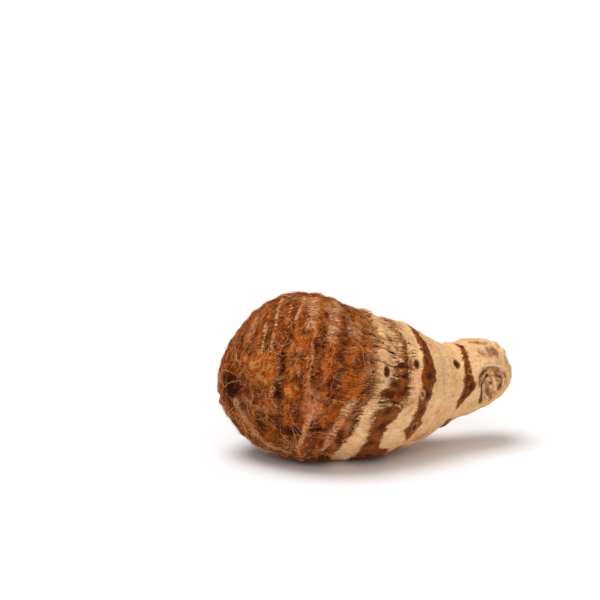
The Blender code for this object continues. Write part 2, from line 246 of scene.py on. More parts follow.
# What is painted on the skin, in millimetres and degrees. The bark's edge is (around, ring).
# Bands are (around, ring at the middle, half width), and a half width below 0 leaves a gap.
cormPaint = {
    "barkEdge": [
        (0, 45.2), (20, 44.6), (45, 44.6), (62, 45.0), (75, 45.5), (88, 45.8), (98, 45.4), (110, 45.2),
        (128, 44.2), (145, 41.5), (165, 43), (200, 45), (240, 44), (285, 46), (330, 44.5)],
    "brownBands": {
        "neckEnd": [
            (0, 85, -0.5), (22, 85.8, 1.0), (40, 85.0, 1.6), (50, 84.6, 1.3), (58, 84.4, 1.7),
            (75, 84.4, 2.1), (88, 85.0, 3.0), (97, 83.8, 2.5), (105, 82.3, 2.0), (116, 81.8, 0.7),
            (128, 82, -0.6), (160, 83, 1.0), (200, 84, 1.6), (240, 83.4, 1.1), (280, 84, 1.8),
            (320, 83.5, 1.0), (345, 83, -0.3)],
        "neck": [
            (0, 61.5, -0.3), (20, 61, 1.4), (32, 62, 2.4), (45, 62.6, 2.6), (58, 62.9, 2.5), (66, 63, 3.1),
            (75, 63, 3.2), (80, 62.8, 2.2), (88, 62.9, 3.3), (96, 62.6, 2.4), (104, 62.4, 2.7),
            (111, 62.4, 2.0), (119, 62.6, 3.2), (128, 63.5, 1.5), (136, 64, -0.4), (180, 63, 1.5),
            (215, 62.5, 1.9), (250, 62, 1.4), (285, 62.5, 2.0), (320, 62, 1.2), (345, 61.5, 0.4)],
        "shoulder": [
            (0, 52, -0.6), (9, 49.5, 1.0), (20, 51, 0.2), (32, 52.6, 0.2), (45, 52.8, 0.9), (56, 52.8, 1.3),
            (66, 52.6, 1.6), (76, 52.8, 2.2), (85, 51, 4.4), (90, 51.6, 2.0), (93.5, 52.3, -1.0),
            (97, 51.5, 3.2), (103, 51.3, 2.8), (112, 51, 2.1), (122, 51.3, 2.2), (132, 51.8, 2.6),
            # from 140 to 185 round, under the corm, the band is wider: partly its own brown, partly painted
            # shade at the bottom
            (140, 54.5, 5.0), (155, 55, 6), (170, 56, 7), (185, 55, 5), (205, 53, 2.5), (240, 52.5, 2),
            (280, 52, 2.6), (315, 52.5, 1.6), (345, 52, 0.3)],
    },
    # pale rings over the bark: ring and angle at the start, the same at the end,
    # half width, strength
    "paleRings": [
        (43.4, 90, 38.3, 140, 1.0, 1.2), (34.8, 100, 31.0, 142, 0.9, 1.2), (29.9, 4, 30.5, 46, 1.7, 1.15),
        (32.0, 42, 33.0, 92, 0.45, 1.0), (12.5, 2, 10.0, 42, 0.8, 0.8), (15.0, 2, 15.0, 20, 0.7, 0.7),
        (26.5, 4, 26.3, 36, 0.6, 1.3), (35.3, 4, 36.1, 58, 1.3, 1.1), (39.3, 0, 41.5, 30, 0.8, 0.7),
        (42.6, 350, 44.4, 40, 0.6, 0.8), (42.5, 45, 43.5, 70, 0.9, 0.6), (27.0, 125, 31.0, 150, 0.8, 0.6),
        (31.5, 160, 32.0, 250, 1.0, 0.8), (26.5, 175, 26.2, 230, 0.7, 0.8),
        (36.5, 170, 37.0, 225, 1.2, 0.7), (10.0, 170, 9.8, 340, 0.7, 0.8), (4.4, 0, 4.4, 360, 0.7, 0.6),
        (32.0, 280, 31.6, 358, 1.3, 0.9), (38.5, 245, 38.0, 330, 0.9, 0.7),
        (26.4, 290, 26.6, 350, 0.6, 0.8), (42.0, 180, 41.5, 240, 1.0, 0.7)],
    "ringWobble": [(0.2, 8, 20), (0.16, 19, 70), (0.1, 41, 10)],      # distance, turns, phase
    # the same for rings of pale dots
    "dottedRings": [
        (20.0, 2, 20.0, 58, 0.6, 1.1), (17.0, 26, 17.0, 54, 0.5, 1.1), (23.2, 10, 23.4, 34, 0.45, 0.9),
        (12.5, 14, 12.0, 40, 0.6, 0.7), (20.2, 150, 19.5, 265, 0.7, 0.9), (15.0, 190, 15.2, 300, 0.7, 0.9),
        (20.2, 290, 20.0, 358, 0.7, 1.0), (17.0, 300, 17.2, 350, 0.6, 0.9)],
    # patches: along, around, half length, half width, strength
    "patches": {
        # The patches at 1.6 and 4 along darken the side hollow, the one at 20.5 along darkens a small hole,
        # and the one at 150 round darkens the underside: painted shade.
        "darkPatch": [
            (41, 32, 4, 5, 0.5), (1.6, 82, 5.0, 10, 1.0), (4, 76, 4, 6, 0.6), (15.8, 69, 2.0, 5.2, 0.9),
            (14.2, 88, 2.0, 5.2, 0.9), (27, 57, 2.2, 3.4, 0.8), (34.5, 64, 4.5, 2.8, 0.45),
            (40.5, 66, 3.4, 3.0, 0.4), (31, 83, 3.0, 2.4, 0.7), (27.5, 116, 3.6, 2.6, 1.0),
            (11, 125, 3.0, 2.6, 0.9), (19.5, 119, 6.5, 2.8, 0.9), (20.5, 47, 1.8, 3.0, 0.7),
            (37.5, 129, 4.4, 2.8, 0.6), (24, 38, 3.0, 4.0, 0.4), (13, 112, 5, 3, 0.5),
            (33, 33, 2.0, 3.0, 0.5), (22, 78, 2.0, 3.0, 0.6), (17, 58, 2.0, 2.6, 0.6),
            (8, 100, 3.0, 4.0, 0.5), (34, 150, 12, 4, 0.5), (40, 112, 2.4, 7, 0.7),
            (35.5, 122, 2.4, 6, 0.8), (29, 128, 2.2, 5, 0.6), (39, 132, 2.2, 5, 0.7), (22, 200, 4, 5, 0.8),
            (30, 240, 5, 4, 0.7), (12, 235, 5, 6, 0.6), (36, 300, 5, 4, 0.7), (18, 275, 5, 4, 0.7),
            (22, 318, 2.5, 5, 0.9), (2, 230, 5, 6, 0.8), (6, 330, 4, 5, 0.6)],
        "warmPatch": [
            (24, 55, 4.0, 4.0, 1.0), (39, 82, 5.5, 5.5, 0.9), (33, 104, 5, 4.4, 0.7),
            (32, 129, 5, 3.2, 0.8), (21, 69, 3.0, 4.4, 0.7), (44, 97, 4.4, 3.6, 0.8), (46, 52, 3, 5, 0.6),
            (12, 96, 4, 3, 0.4), (20, 30, 5, 5, 0.4), (16, 105, 4, 3, 0.4), (42, 50, 5, 4, 0.5),
            (25, 205, 6, 6, 0.7), (34, 255, 6, 6, 0.8), (14, 250, 6, 6, 0.6), (26, 300, 6, 5, 0.8),
            (10, 300, 5, 6, 0.6), (40, 320, 5, 5, 0.6), (40, 215, 5, 5, 0.7)],
        "pinkPatch": [
            (25, 101, 5.0, 5.6, 1.3), (24, 88, 3.5, 3.5, 0.9), (22, 58, 2.2, 2.4, 0.9),
            (6.8, 47, 2.8, 3.2, 0.8), (42, 32, 5, 4.5, 0.6), (36, 97, 4, 3, 0.5), (30, 22, 4, 5, 0.5),
            (8, 118, 4, 3, 0.5), (24, 142, 5, 3, 0.6), (30, 185, 5, 5, 0.7), (16, 220, 4, 4, 0.5),
            (38, 280, 5, 5, 0.7), (20, 340, 5, 5, 0.6)],
        "wornBark": [
            (36.6, 22, 2.2, 6.5, 1.3), (41.5, 34, 2.0, 8, 1.1), (44, 38, 3, 8, 1.0), (29, 14, 5, 6, 1.0),
            (37, 22, 6, 7, 0.9), (43, 40, 4, 9, 0.8), (44.5, 72, 3, 6, 0.5), (33, 40, 4, 4, 0.6),
            (12, 14, 6, 5, 0.7), (20, 8, 5, 4, 0.5), (38, 112, 3, 6, 0.6), (27, 92, 3, 6, 0.6),
            (10, 40, 3, 4, 0.5), (42, 98, 4, 4, 0.4), (7, 134, 5, 6, 0.6), (15, 146, 6, 5, 0.6),
            (13, 104, 4, 4, 0.5), (20, 100, 3, 4, 0.4), (38, 190, 6, 7, 0.8), (22, 262, 6, 6, 0.7),
            (12, 310, 5, 6, 0.6), (34, 330, 6, 7, 0.8), (30, 220, 5, 6, 0.6)],
        "stain": [
            (97, 14, 7, 4, 0.45), (88, 8, 5, 4, 0.5), (108, 60, 4, 8, 0.5), (103, 40, 3, 4, 0.9),
            (70, 140, 9, 5, 0.6), (60, 150, 8, 5, 0.8), (92, 130, 6, 4, 0.5), (96, 220, 8, 7, 0.6),
            (104, 290, 5, 6, 0.6), (74, 250, 8, 6, 0.5), (80, 340, 6, 4, 0.4)],
        "crackZone": [
            (47, 106, 4, 9, 0.5), (48, 82, 4, 6, 0.6), (59, 62, 5, 10, 0.4), (60.3, 50, 6, 15, 1.15),
            (59.5, 38, 4.5, 10, 1.0), (58.5, 78, 6, 9, 0.9), (55, 91, 9, 3, 0.9), (58.5, 20, 6, 8, 0.6),
            (56, 250, 9, 9, 0.9), (60, 320, 8, 8, 0.9)],
    },
    # root scars: along, around, radius
    "rootScars": [
        (85, 50, 1.5), (53, 68, 1.7), (66, 59, 1.35), (65, 119, 1.3), (58.5, 95, 0.6), (72, 32, 0.6),
        (90, 67, 0.6)],
    # seeded root scars over the hidden sides, with the range of each value
    "moreRootScars": {"seed": 17, "number": 22,
                      "along": (8, 100), "around": (150, 350), "radius": (0.6, 1.4)},
    # round spots that the brown bands are made of: ring, around, radius
    "bandSpots": [
        (62.8, 70, 2.1), (63.2, 88, 2.3), (62.4, 103, 1.5), (62.2, 118, 1.7), (61.6, 56, 1.5),
        (84.2, 62, 1.3), (84.4, 76, 1.6), (85.6, 89, 2.1), (83.2, 101, 1.5), (53.2, 70, 1.9),
        (49.6, 86, 2.3), (52.8, 84, 2.0), (51.4, 60, 1.7), (53.8, 62, 1.6), (50.6, 77, 1.8),
        (51.0, 99, 1.9), (51.4, 112, 2.0), (51.2, 127, 2.0), (84.0, 44, 1.2), (62.0, 38, 1.3)],
    # seeded spots of the bands there: first and last angle and step, radius, and how far they stray
    "moreBandSpots": {"seed": 5, "angles": (140, 390, 15), "radius": (0.7, 1.9), "gapRadius": 0.5,
                      "leastHalf": 0.5, "offMiddle": 1.2, "offAngle": 7},
    # pale rings round small scars: along, around, half length, half width
    "paleLoops": [(67.3, 87, 0.9, 1.5), (70, 98, 0.8, 0.9), (62, 226, 0.9, 1.4), (84, 290, 0.8, 1.0)],
    # lines of the knot and other cracks: half width, then points as (along, around)
    # dark cracks: painted dark with a brown halo, partly the cracks' own colour and partly painted shade in
    # and around them
    "darkCracks": [
        (0.5, [(98.0, 82), (96.8, 88), (95.4, 95), (94.9, 102), (94.2, 112), (94.3, 120), (95.3, 127)]),
        (0.20, [(101.5, 84), (103.0, 91), (103.2, 100), (101.8, 108)]),
        (0.16, [(99.5, 96), (100.6, 103), (99.6, 112)]), (0.16, [(96.5, 74), (94.4, 82)]),
        (0.14, [(104.8, 82), (106, 92), (105.6, 104)]),
        (0.30, [(46, 40), (50, 39), (54, 41)]), (0.25, [(49, 50), (54, 49.5), (58, 51)]),
        (0.32, [(50, 44), (53, 45)]), (0.22, [(47, 62), (51, 61), (55, 62.5), (61, 62)]),
        (0.25, [(56, 70), (61, 71)]), (0.22, [(60, 80), (64, 80.5)]),
        (0.28, [(49, 92), (53, 91), (58, 92.5)]), (0.25, [(45, 12), (49, 9), (53, 8)]),
        (0.25, [(50, 300), (56, 302), (62, 301)]), (0.25, [(48, 262), (54, 260)]),
        (0.22, [(58, 232), (64, 234)]), (0.3, [(95, 250), (96, 262), (95, 275)]),
    ],
    # pale lines along the knot's raised rims: painted highlight where they catch the light
    "knotRims": [
        (0.45, [(94.8, 65.5), (98, 66), (101.5, 67.5), (104.5, 71)]),
        (0.35, [(100.3, 88), (101.2, 97), (100, 106)]),
        (0.3, [(96.8, 100), (96.2, 110), (97.5, 120)]), (0.3, [(104.6, 96), (104.2, 108)]),
    ],
    "paleLines": [
        # the first line follows the lit edge of the underside: painted highlight
        (1.2, [(3.2, 114), (5.4, 127), (9, 139), (14, 147), (20, 147)]),
        (0.6, [(14.2, 99), (12.6, 92), (13.6, 80), (16, 76)]), (0.4, [(20.5, 70), (21.5, 76)]),
        (0.5, [(5, 100), (9, 106), (12, 104)]), (0.5, [(8, 330), (14, 322), (20, 325)]),
    ],
    "softCracks": [
        # the second line here runs under the knot's top rim: painted shade below that rim
        (0.8, [(95.8, 74), (94.2, 80), (93.9, 92)]), (0.8, [(97.4, 71.5), (100, 71.0), (103, 74)]),
        (0.7, [(97.5, 92), (97, 104), (96, 116)]), (0.6, [(102, 90), (102.4, 100)]),
        (0.8, [(101, 74), (103, 84), (103.8, 95), (103.2, 105)]), (1.6, [(97.4, 106), (98.2, 116)]),
        (1.0, [(101.6, 72), (101.9, 77)]), (1.4, [(102.8, 104), (103.4, 108)]),
        (0.7, [(105.8, 86), (105.9, 92)]), (0.8, [(95.6, 41), (97.6, 47)]), (1.2, [(100.2, 34), (100.8, 47)]),
        (0.7, [(94, 12), (97, 17), (100, 20)]), (0.5, [(97, 90), (99, 97)]), (0.5, [(99, 84), (100.5, 92)]),
    ],
}


# How the marks fade at their edges, in millimetres, degrees or shares.
paintEdges = {
    "farOutside": -9.0,                 # depth of a point that no mark is near
    "patch": 1.25,                      # patches reach this many times their half length
    "ringAcross": 1.5,                  # and rings this many times their half width
    "ringEnds": 0.08,
    "wobbleShift": 0.6,
    "rootScarShape": (0.85, 1.15),      # length and width of a root scar for a radius of 1
    "flatRings": (-0.3, 0.3),           # sine of the angle over which flat rings become leaf rings
    "bark": (-1.5, 1.5),
    "combed": (-3.5, -0.3),             # past the edge of the bark, where its hairs are combed out
    "crispAngles": ((60, 84), (160, 200)),      # between these the edge is crisper
    "crispShare": 0.8,
    "budGlow": 1.15,                    # the scurf round a bud reaches this many times its size
    "scurf": 1.2,
    "knot": 1.3,
    "loopWidth": 0.28,
    # width of the painted highlight on each ridge, and how far before it the painted shade of its groove lies
    "ridgeWidth": 1.5,
    "grooveBefore": 2.0,
    "faintTip": (0.3, 20),              # strength of the ridges at the tip, and where they are whole
}


def wrapped(degrees):                           # into the half turn either side of 0
    return (degrees + 180) % 360 - 180


def bandAt(stations, degrees):                  # the ring at a band's middle, and its half width
    angles, middles, halves = zip(*stations)
    return [np.interp(degrees, angles, values, period=360) for values in (middles, halves)]


def bandDepth(stations, ring, degrees):         # millimetres inside a band, below 0 outside
    middle, half = bandAt(stations, degrees)
    return half - abs(ring - middle)


def patchStrength(patches, points):
    strength = np.zeros(len(points))
    for patch in patches:
        distance = scarDistance(patch, points)
        strength = np.maximum(strength, patch[4] * (paintEdges["patch"] - distance))
    return np.clip(strength, 0, 1)


def ringStrength(rings, ring, degrees):         # how strongly rings are painted at each point
    strength = np.zeros_like(ring)
    for distance, turns, phase in cormPaint["ringWobble"]:
        turn = np.radians(turns * degrees + phase) + paintEdges["wobbleShift"] * ring
        ring = ring + distance * np.sin(turn)
    fade = paintEdges["ringEnds"]
    for startRing, startAngle, endRing, endAngle, half, amount in rings:
        span = (endAngle - startAngle) % 360 or 360
        share = ((degrees - startAngle) % 360) / span
        share = np.where(share > 0.5 + 180 / span, share - 360 / span, share)      # nearer to the start
        middle = startRing + (endRing - startRing) * np.clip(share, 0, 1)
        ends = ramp(-fade, fade, share) * (1 - ramp(1 - fade, 1 + fade, share))
        across = np.clip(paintEdges["ringAcross"] - abs(ring - middle) / half, 0, 1)
        strength = np.maximum(strength, amount * ends * across)
    return strength


def rootScarDepth(points):                      # millimetres inside the nearest root scar
    more = cormPaint["moreRootScars"]
    draw = np.random.default_rng(more["seed"])
    scars = list(cormPaint["rootScars"])
    for number in range(more["number"]):
        scars.append(tuple(draw.uniform(*more[name]) for name in ("along", "around", "radius")))
    depth = np.full(len(points), paintEdges["farOutside"])
    tall, wide = paintEdges["rootScarShape"]
    for along, around, radius in scars:
        scar = (along, around, radius * tall, radius * wide)
        depth = np.maximum(depth, radius * (1 - scarDistance(scar, points)))
    return depth


def bandSpotDepth(along, ring, degrees):        # millimetres inside the nearest spot of a band
    more = cormPaint["moreBandSpots"]
    draw = np.random.default_rng(more["seed"])
    spots = list(cormPaint["bandSpots"])
    for stations in cormPaint["brownBands"].values():
        for angle in np.arange(*more["angles"]):
            middle, half = bandAt(stations, angle % 360)
            radius = draw.uniform(*more["radius"]) if half > more["leastHalf"] else more["gapRadius"]
            middle = middle + draw.uniform(-more["offMiddle"], more["offMiddle"])
            spots.append((middle, angle + draw.uniform(-more["offAngle"], more["offAngle"]), radius))
    reach = cormRadius(along)
    depth = np.full(len(ring), paintEdges["farOutside"])
    for middle, angle, radius in spots:
        aside = np.radians(wrapped(degrees - angle)) * reach
        depth = np.maximum(depth, radius - np.hypot(ring - middle, aside))
    return depth


def lineDepth(lines, points):                   # millimetres inside the nearest drawn line
    depth = np.full(len(points), paintEdges["farOutside"])
    for half, corners in lines:
        bends = skinPoint(np.array([c[0] for c in corners], float), np.radians([c[1] for c in corners]))
        for start, end in zip(bends[:-1], bends[1:]):
            run = end - start
            share = np.clip((points - start) @ run / (run @ run), 0, 1)
            gap = np.linalg.norm(points - start - share[:, None] * run, axis=1)
            depth = np.maximum(depth, half - gap)
    return depth


def addObject(name, data):
    piece = bpy.data.objects.new(name, data)
    bpy.context.scene.collection.objects.link(piece)
    return piece


# The skin: a closed skin of fine faces over the whole corm.
skinDetail = {
    "rows": 300,
    "sides": 318,
    "reliefFreeHeight": 4.5,            # the relief fades out this far above the floor
    "reliefFreeTip": 1.5,               # and this near to the tips
    "restFlat": 0.7,
    "ringSpaceRadius": 25.0,            # the skin's places in the textures are on a tube no wider
}


def cormField():                # every row and side of the skin, with what each point carries
    rows = skinDetail["rows"]
    sides = skinDetail["sides"]
    length = cormForm["length"]
    inner = np.arange(1, rows)
    along = length * (1 - np.cos(math.pi * inner / rows)) / 2
    around = 2 * math.pi * np.arange(sides) / sides
    along, around = (part.ravel() for part in np.meshgrid(along, around, indexing="ij"))
    along = np.concatenate([[0.0], along, [length]])
    around = np.concatenate([[0.0], around, [0.0]])
    smooth = skinPoint(along, around)
    lengthwise, crosswise, outward = skinFrame(along, around)
    ring = along + ringLean(along, around)
    slope = ringSlope(along, around, outward)
    height, barkEnd, barkEdge = cormRelief["barkStep"]
    relief = ridgeRelief(ring, around, slope) + swellingRelief(along, around) + scarRelief(smooth)
    relief += height * (1 - ramp(barkEnd - barkEdge, barkEnd + barkEdge, ring))
    low = smooth[:, 2].min()
    relief *= ramp(low, low + skinDetail["reliefFreeHeight"], smooth[:, 2])
    tip = skinDetail["reliefFreeTip"]
    relief *= ramp(0, tip, along) * ramp(0, tip, length - along)
    points = smooth + relief[:, None] * outward
    floor = points[:, 2].min() + skinDetail["restFlat"]
    points[:, 2] = np.maximum(points[:, 2], floor)
    return {"along": along, "around": around, "smooth": smooth, "points": points, "ring": ring,
            "slope": slope, "lengthwise": lengthwise, "crosswise": crosswise, "floor": floor}


def gridFaces():                # a fan at each tip, and four-sided faces between
    rows = skinDetail["rows"]
    sides = skinDetail["sides"]
    last = 1 + (rows - 1) * sides
    faces = []
    for side in range(sides):
        following = (side + 1) % sides
        faces.append((0, 1 + following, 1 + side))
        faces.append((last, last - sides + side, last - sides + following))
    for row in range(rows - 2):
        here = 1 + row * sides
        there = here + sides
        for side in range(sides):
            following = (side + 1) % sides
            faces.append((here + side, here + following, there + following, there + side))
    return faces


def addAttribute(mesh, name, values):
    vector = values.ndim == 2
    kind = "FLOAT_VECTOR" if vector else "FLOAT"
    attribute = mesh.attributes.new(name, kind, "POINT")
    attribute.data.foreach_set("vector" if vector else "value", values.astype(np.float32).ravel())


def skinPaint(field):           # every mark as a value at each point of the skin
    edges = paintEdges
    points = field["smooth"]
    around = field["around"]
    near = ramp(*edges["flatRings"], np.sin(around))        # the marks on this side lie on flat rings
    ring = field["ring"] + near * (field["along"] + plainLean(field["along"], around) - field["ring"])
    degrees = np.degrees(around) % 360
    angles, places = zip(*cormPaint["barkEdge"])
    barkDepth = np.interp(degrees, angles, places, period=360) - ring
    spots = bandSpotDepth(field["along"], ring, degrees)
    bands = [bandDepth(stations, ring, degrees) for stations in cormPaint["brownBands"].values()]
    buds = [budIn(socket) for socket in cormRelief["budSockets"]] + [cormRelief["apexBud"]]
    budGlow = np.max([edges["budGlow"] - scarDistance(bud, points) for bud in buds], axis=0)
    scurf = np.maximum(edges["scurf"] - scarDistance(cormRelief["scurfPatch"], points), budGlow)
    faint, full = edges["faintTip"]
    # each leaf ridge is painted lighter as a painted highlight, and the groove before it darker as painted
    # shade
    ridges = []
    grooveShades = []
    for place, height in cormRelief["leafRidges"]:
        away = (field["ring"] - place) / field["slope"]
        strength = min(1, faint + place / full)
        ridges.append(np.exp(-(away / edges["ridgeWidth"]) ** 2) * strength)
        grooveShades.append(np.exp(-(away + edges["grooveBefore"]) ** 2) * strength)
    loops = [edgeOf(scarDistance(loop, points), edges["loopWidth"]) for loop in cormPaint["paleLoops"]]
    crispFrom, crispTo = edges["crispAngles"]
    crisp = ramp(*crispFrom, degrees) * (1 - ramp(*crispTo, degrees))
    radius = skinDetail["ringSpaceRadius"]
    tube = np.stack([np.sin(around), np.cos(around)], axis=-1)
    tube = tube * np.minimum(cormRadius(field["along"]), radius)[:, None]
    paint = {
        "ringSpace": np.concatenate([ring[:, None], tube], axis=1),
        "flatPlace": np.stack([ring, radius * np.radians(wrapped(degrees)), np.zeros_like(ring)], axis=-1),
        "lengthwise": field["lengthwise"],
        "crosswise": field["crosswise"],
        "bark": ramp(*edges["bark"], barkDepth),
        "barkDepth": barkDepth,
        "combedEdge": ramp(*edges["combed"], -barkDepth) * (1 - edges["crispShare"] * crisp),
        "bandDepth": np.maximum(np.max(bands, axis=0), spots),
        "bandSpot": spots,
        "paleLoop": np.max(loops, axis=0),
        "rootScar": rootScarDepth(points),
        "scurf": np.clip(scurf, 0, 1),
        "knot": np.clip(edges["knot"] - scarDistance(cormRelief["neckKnot"], points), 0, 1),
        # ridge: painted highlight along the ridges, also where fringe fibres grow; groove: painted shade
        # before them
        "ridge": np.max(ridges, axis=0),
        "groove": np.max(grooveShades, axis=0),
    }
    for name in ("paleRing", "dottedRing"):
        paint[name] = ringStrength(cormPaint[name + "s"], ring, degrees)
    for name in ("paleLine", "knotRim", "darkCrack", "softCrack"):
        paint[name] = lineDepth(cormPaint[name + "s"], points)
    for name in ("darkPatch", "warmPatch", "pinkPatch", "wornBark", "crackZone", "stain"):
        paint[name] = patchStrength(cormPaint["patches"][name], points)
    return paint


print("corm form")
field = cormField()
field["paint"] = skinPaint(field)
bare = field["points"]
boxLow, boxHigh = (np.array(corner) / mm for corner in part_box("taro_corm"))
middle = (bare.min(axis=0) + bare.max(axis=0)) / 2 - (boxLow + boxHigh) / 2
shift = np.array([middle[0], middle[1], field["floor"] - boxLow[2]])     # corm's own frame to the row's
skinMesh = bpy.data.meshes.new("taroSkin")
skinMesh.from_pydata(((bare - shift) * mm).tolist(), [], gridFaces())
for name, values in field["paint"].items():
    addAttribute(skinMesh, name, values)
skinMesh.shade_smooth()
taroSkin = addObject("taroSkin", skinMesh)


# Small helpers for node trees.
def setInputs(tree, node, inputs):
    for key, value in inputs.items():
        if isinstance(value, bpy.types.NodeSocket):
            tree.links.new(value, node.inputs[key])
        else:
            node.inputs[key].default_value = value


def addNode(tree, kind, inputs=None, **settings):
    node = tree.nodes.new(kind)
    for name, value in settings.items():
        setattr(node, name, value)
    setInputs(tree, node, inputs or {})
    return node


def output(tree, kind, inputs=None, socket=0, **settings):
    return addNode(tree, kind, inputs, **settings).outputs[socket]


def calc(tree, operation, *values):
    return output(tree, "ShaderNodeMath", dict(enumerate(values)), operation=operation)


def vectorCalc(tree, operation, *values):
    return output(tree, "ShaderNodeVectorMath", dict(enumerate(values)), operation=operation)


def scaledBy(tree, vector, scale):
    return output(tree, "ShaderNodeVectorMath", {0: vector, "Scale": scale}, operation="SCALE")


def stretched(tree, place, along, around):      # a place scaled lengthwise and round
    return vectorCalc(tree, "MULTIPLY", place, (along, around, around))


def combined(tree, *parts):
    return output(tree, "ShaderNodeCombineXYZ", dict(enumerate(parts)))


def separated(tree, vector):
    return addNode(tree, "ShaderNodeSeparateXYZ", {0: vector}).outputs


def smoothStep(tree, value, low, high):
    return output(tree, "ShaderNodeMapRange", {"Value": value, "From Min": low, "From Max": high},
                  interpolation_type="SMOOTHSTEP")


def between(tree, share, low, high):
    return output(tree, "ShaderNodeMapRange", {"Value": share, "To Min": low, "To Max": high})


def mixColour(tree, factor, under, over):
    return output(tree, "ShaderNodeMix", {0: factor, 6: under, 7: over}, 2, data_type="RGBA")


def noiseValue(tree, vector, detail, roughness, distortion=0.0):
    return output(tree, "ShaderNodeTexNoise", {"Vector": vector, "Scale": 1.0, "Detail": detail,
                                               "Roughness": roughness, "Distortion": distortion})


def noiseAt(tree, place, along, around, *values):
    return noiseValue(tree, stretched(tree, place, along, around), *values)


def tone(red, green, blue):                     # a colour from its screen values
    linear = [(part / 255 / 12.92) if part <= 10 else ((part / 255 + 0.055) / 1.055) ** 2.4
              for part in (red, green, blue)]
    return (*linear, 1.0)


def nodeGroup(name, kind, inputs, outputs):
    group = bpy.data.node_groups.new(name, kind)
    for label, socket, default in inputs:
        item = group.interface.new_socket(name=label, in_out="INPUT", socket_type="NodeSocket" + socket)
        if default is not None:
            item.default_value = default
    for label, socket in outputs:
        group.interface.new_socket(name=label, in_out="OUTPUT", socket_type="NodeSocket" + socket)
    return group, group.nodes.new("NodeGroupInput").outputs, group.nodes.new("NodeGroupOutput").inputs


def useGroup(tree, group, **values):            # the mask of one of the shared groups
    node = tree.nodes.new("ShaderNodeGroup")
    node.node_tree = group
    setInputs(tree, node, values)
    return node.outputs["Mask"]


# Effects shared by the skin and its fibres. Places are in millimetres.
groupValues = {
    # noises that tear an edge: scale along, scale round, detail, roughness, reach
    "tears": [(0.45, 0.45, 4.0, 0.65, 3.0), (1.6, 1.9, 3.0, 0.7, 2.6)],
    "blotch": (5.0, 0.6, 0.4),          # detail, roughness, distortion
    "patchNoise": (5.0, 0.65),          # detail, roughness
    "scarNoise": (4.0, 0.7),
    "bendScale": (0.3, 0.3, 1.0),
    "bendDetail": 1.0,
    "strokeDetail": 2.0,
    "strokeSoft": 0.1,
}


def makeRaggedMask():           # a painted area with a torn edge
    group, given, result = nodeGroup(
        "raggedMask", "ShaderNodeTree",
        [("Depth", "Float", 0.0), ("Place", "Vector", None), ("Tear", "Float", 0.8), ("Soft", "Float", 0.35)],
        [("Mask", "Float")])
    wander = [calc(group, "MULTIPLY_ADD", noiseAt(group, given["Place"], *values), reach, -reach / 2)
              for *values, reach in groupValues["tears"]]
    torn = calc(group, "MULTIPLY_ADD", calc(group, "ADD", *wander), given["Tear"], given["Depth"])
    low = calc(group, "MULTIPLY", given["Soft"], -1.0)
    group.links.new(smoothStep(group, torn, low, given["Soft"]), result["Mask"])
    return group


def makeMottle():               # soft blotches
    group, given, result = nodeGroup(
        "mottle", "ShaderNodeTree",
        [("Place", "Vector", None), ("Size", "Float", 5.0), ("Middle", "Float", 0.5),
         ("Soft", "Float", 0.12)],
        [("Mask", "Float")])
    place = scaledBy(group, given["Place"], calc(group, "DIVIDE", 1.0, given["Size"]))
    blotch = noiseValue(group, place, *groupValues["blotch"])
    low = calc(group, "SUBTRACT", given["Middle"], given["Soft"])
    high = calc(group, "ADD", given["Middle"], given["Soft"])
    group.links.new(smoothStep(group, blotch, low, high), result["Mask"])
    return group


def flatNoise(tree, place, detail, socket=0):
    return output(tree, "ShaderNodeTexNoise", {"Vector": place, "Scale": 1.0, "Detail": detail}, socket,
                  noise_dimensions="2D")


def centred(tree, colour):      # a noise's colour as a vector around 0
    return vectorCalc(tree, "SUBTRACT", colour, (0.5, 0.5, 0.5))


def makeStrokes():              # short fibres all lying one way, on the flat place
    group, given, result = nodeGroup(
        "strokes", "ShaderNodeTree",
        [("Place", "Vector", None), ("Turn", "Float", 0.0), ("Length", "Float", 5.0), ("Width", "Float", 0.4),
         ("Level", "Float", 0.6), ("Bend", "Float", 2.0)],
        [("Mask", "Float")])
    bendPlace = vectorCalc(group, "MULTIPLY", given["Place"], groupValues["bendScale"])
    bend = flatNoise(group, bendPlace, groupValues["bendDetail"], "Color")
    place = vectorCalc(group, "ADD", given["Place"], scaledBy(group, centred(group, bend), given["Bend"]))
    turned = output(group, "ShaderNodeVectorRotate", {"Vector": place, "Angle": given["Turn"]},
                    rotation_type="Z_AXIS")
    scale = combined(group, *(calc(group, "DIVIDE", 1.0, given[side]) for side in ("Length", "Width")))
    lines = flatNoise(group, vectorCalc(group, "MULTIPLY", turned, scale), groupValues["strokeDetail"])
    high = calc(group, "ADD", given["Level"], groupValues["strokeSoft"])
    group.links.new(smoothStep(group, lines, given["Level"], high), result["Mask"])
    return group


print("shader groups")
raggedMask = makeRaggedMask()
mottle = makeMottle()
strokes = makeStrokes()

# Tones of the skin and its fibres, from their screen values.
skinTones = {name: tone(*parts) for name, parts in {
    "tan": (243, 197, 143), "pinkTan": (243, 184, 136), "yellowTan": (224, 178, 110),
    "cream": (248, 216, 170), "speck": (150, 94, 42), "brown": (106, 50, 14),
    "bandBrown": (136, 74, 28), "deepBrown": (58, 24, 5), "redBrown": (126, 50, 11),
    "maroon": (74, 20, 5), "orangeBrown": (188, 82, 14), "orange": (208, 98, 16),
    "paleFibre": (224, 130, 54), "paleRing": (234, 172, 116), "ringWhite": (242, 188, 138),
    "hair": (248, 176, 104), "hairTip": (250, 204, 148), "pink": (212, 114, 60),
    "greyTan": (174, 98, 40), "dust": (196, 128, 80), "bareBark": (220, 160, 112),
    "blush": (230, 146, 102), "dark": (32, 11, 2), "scurf": (228, 145, 64),
    "scurfDark": (112, 48, 12), "olive": (130, 82, 30),
}.items()}


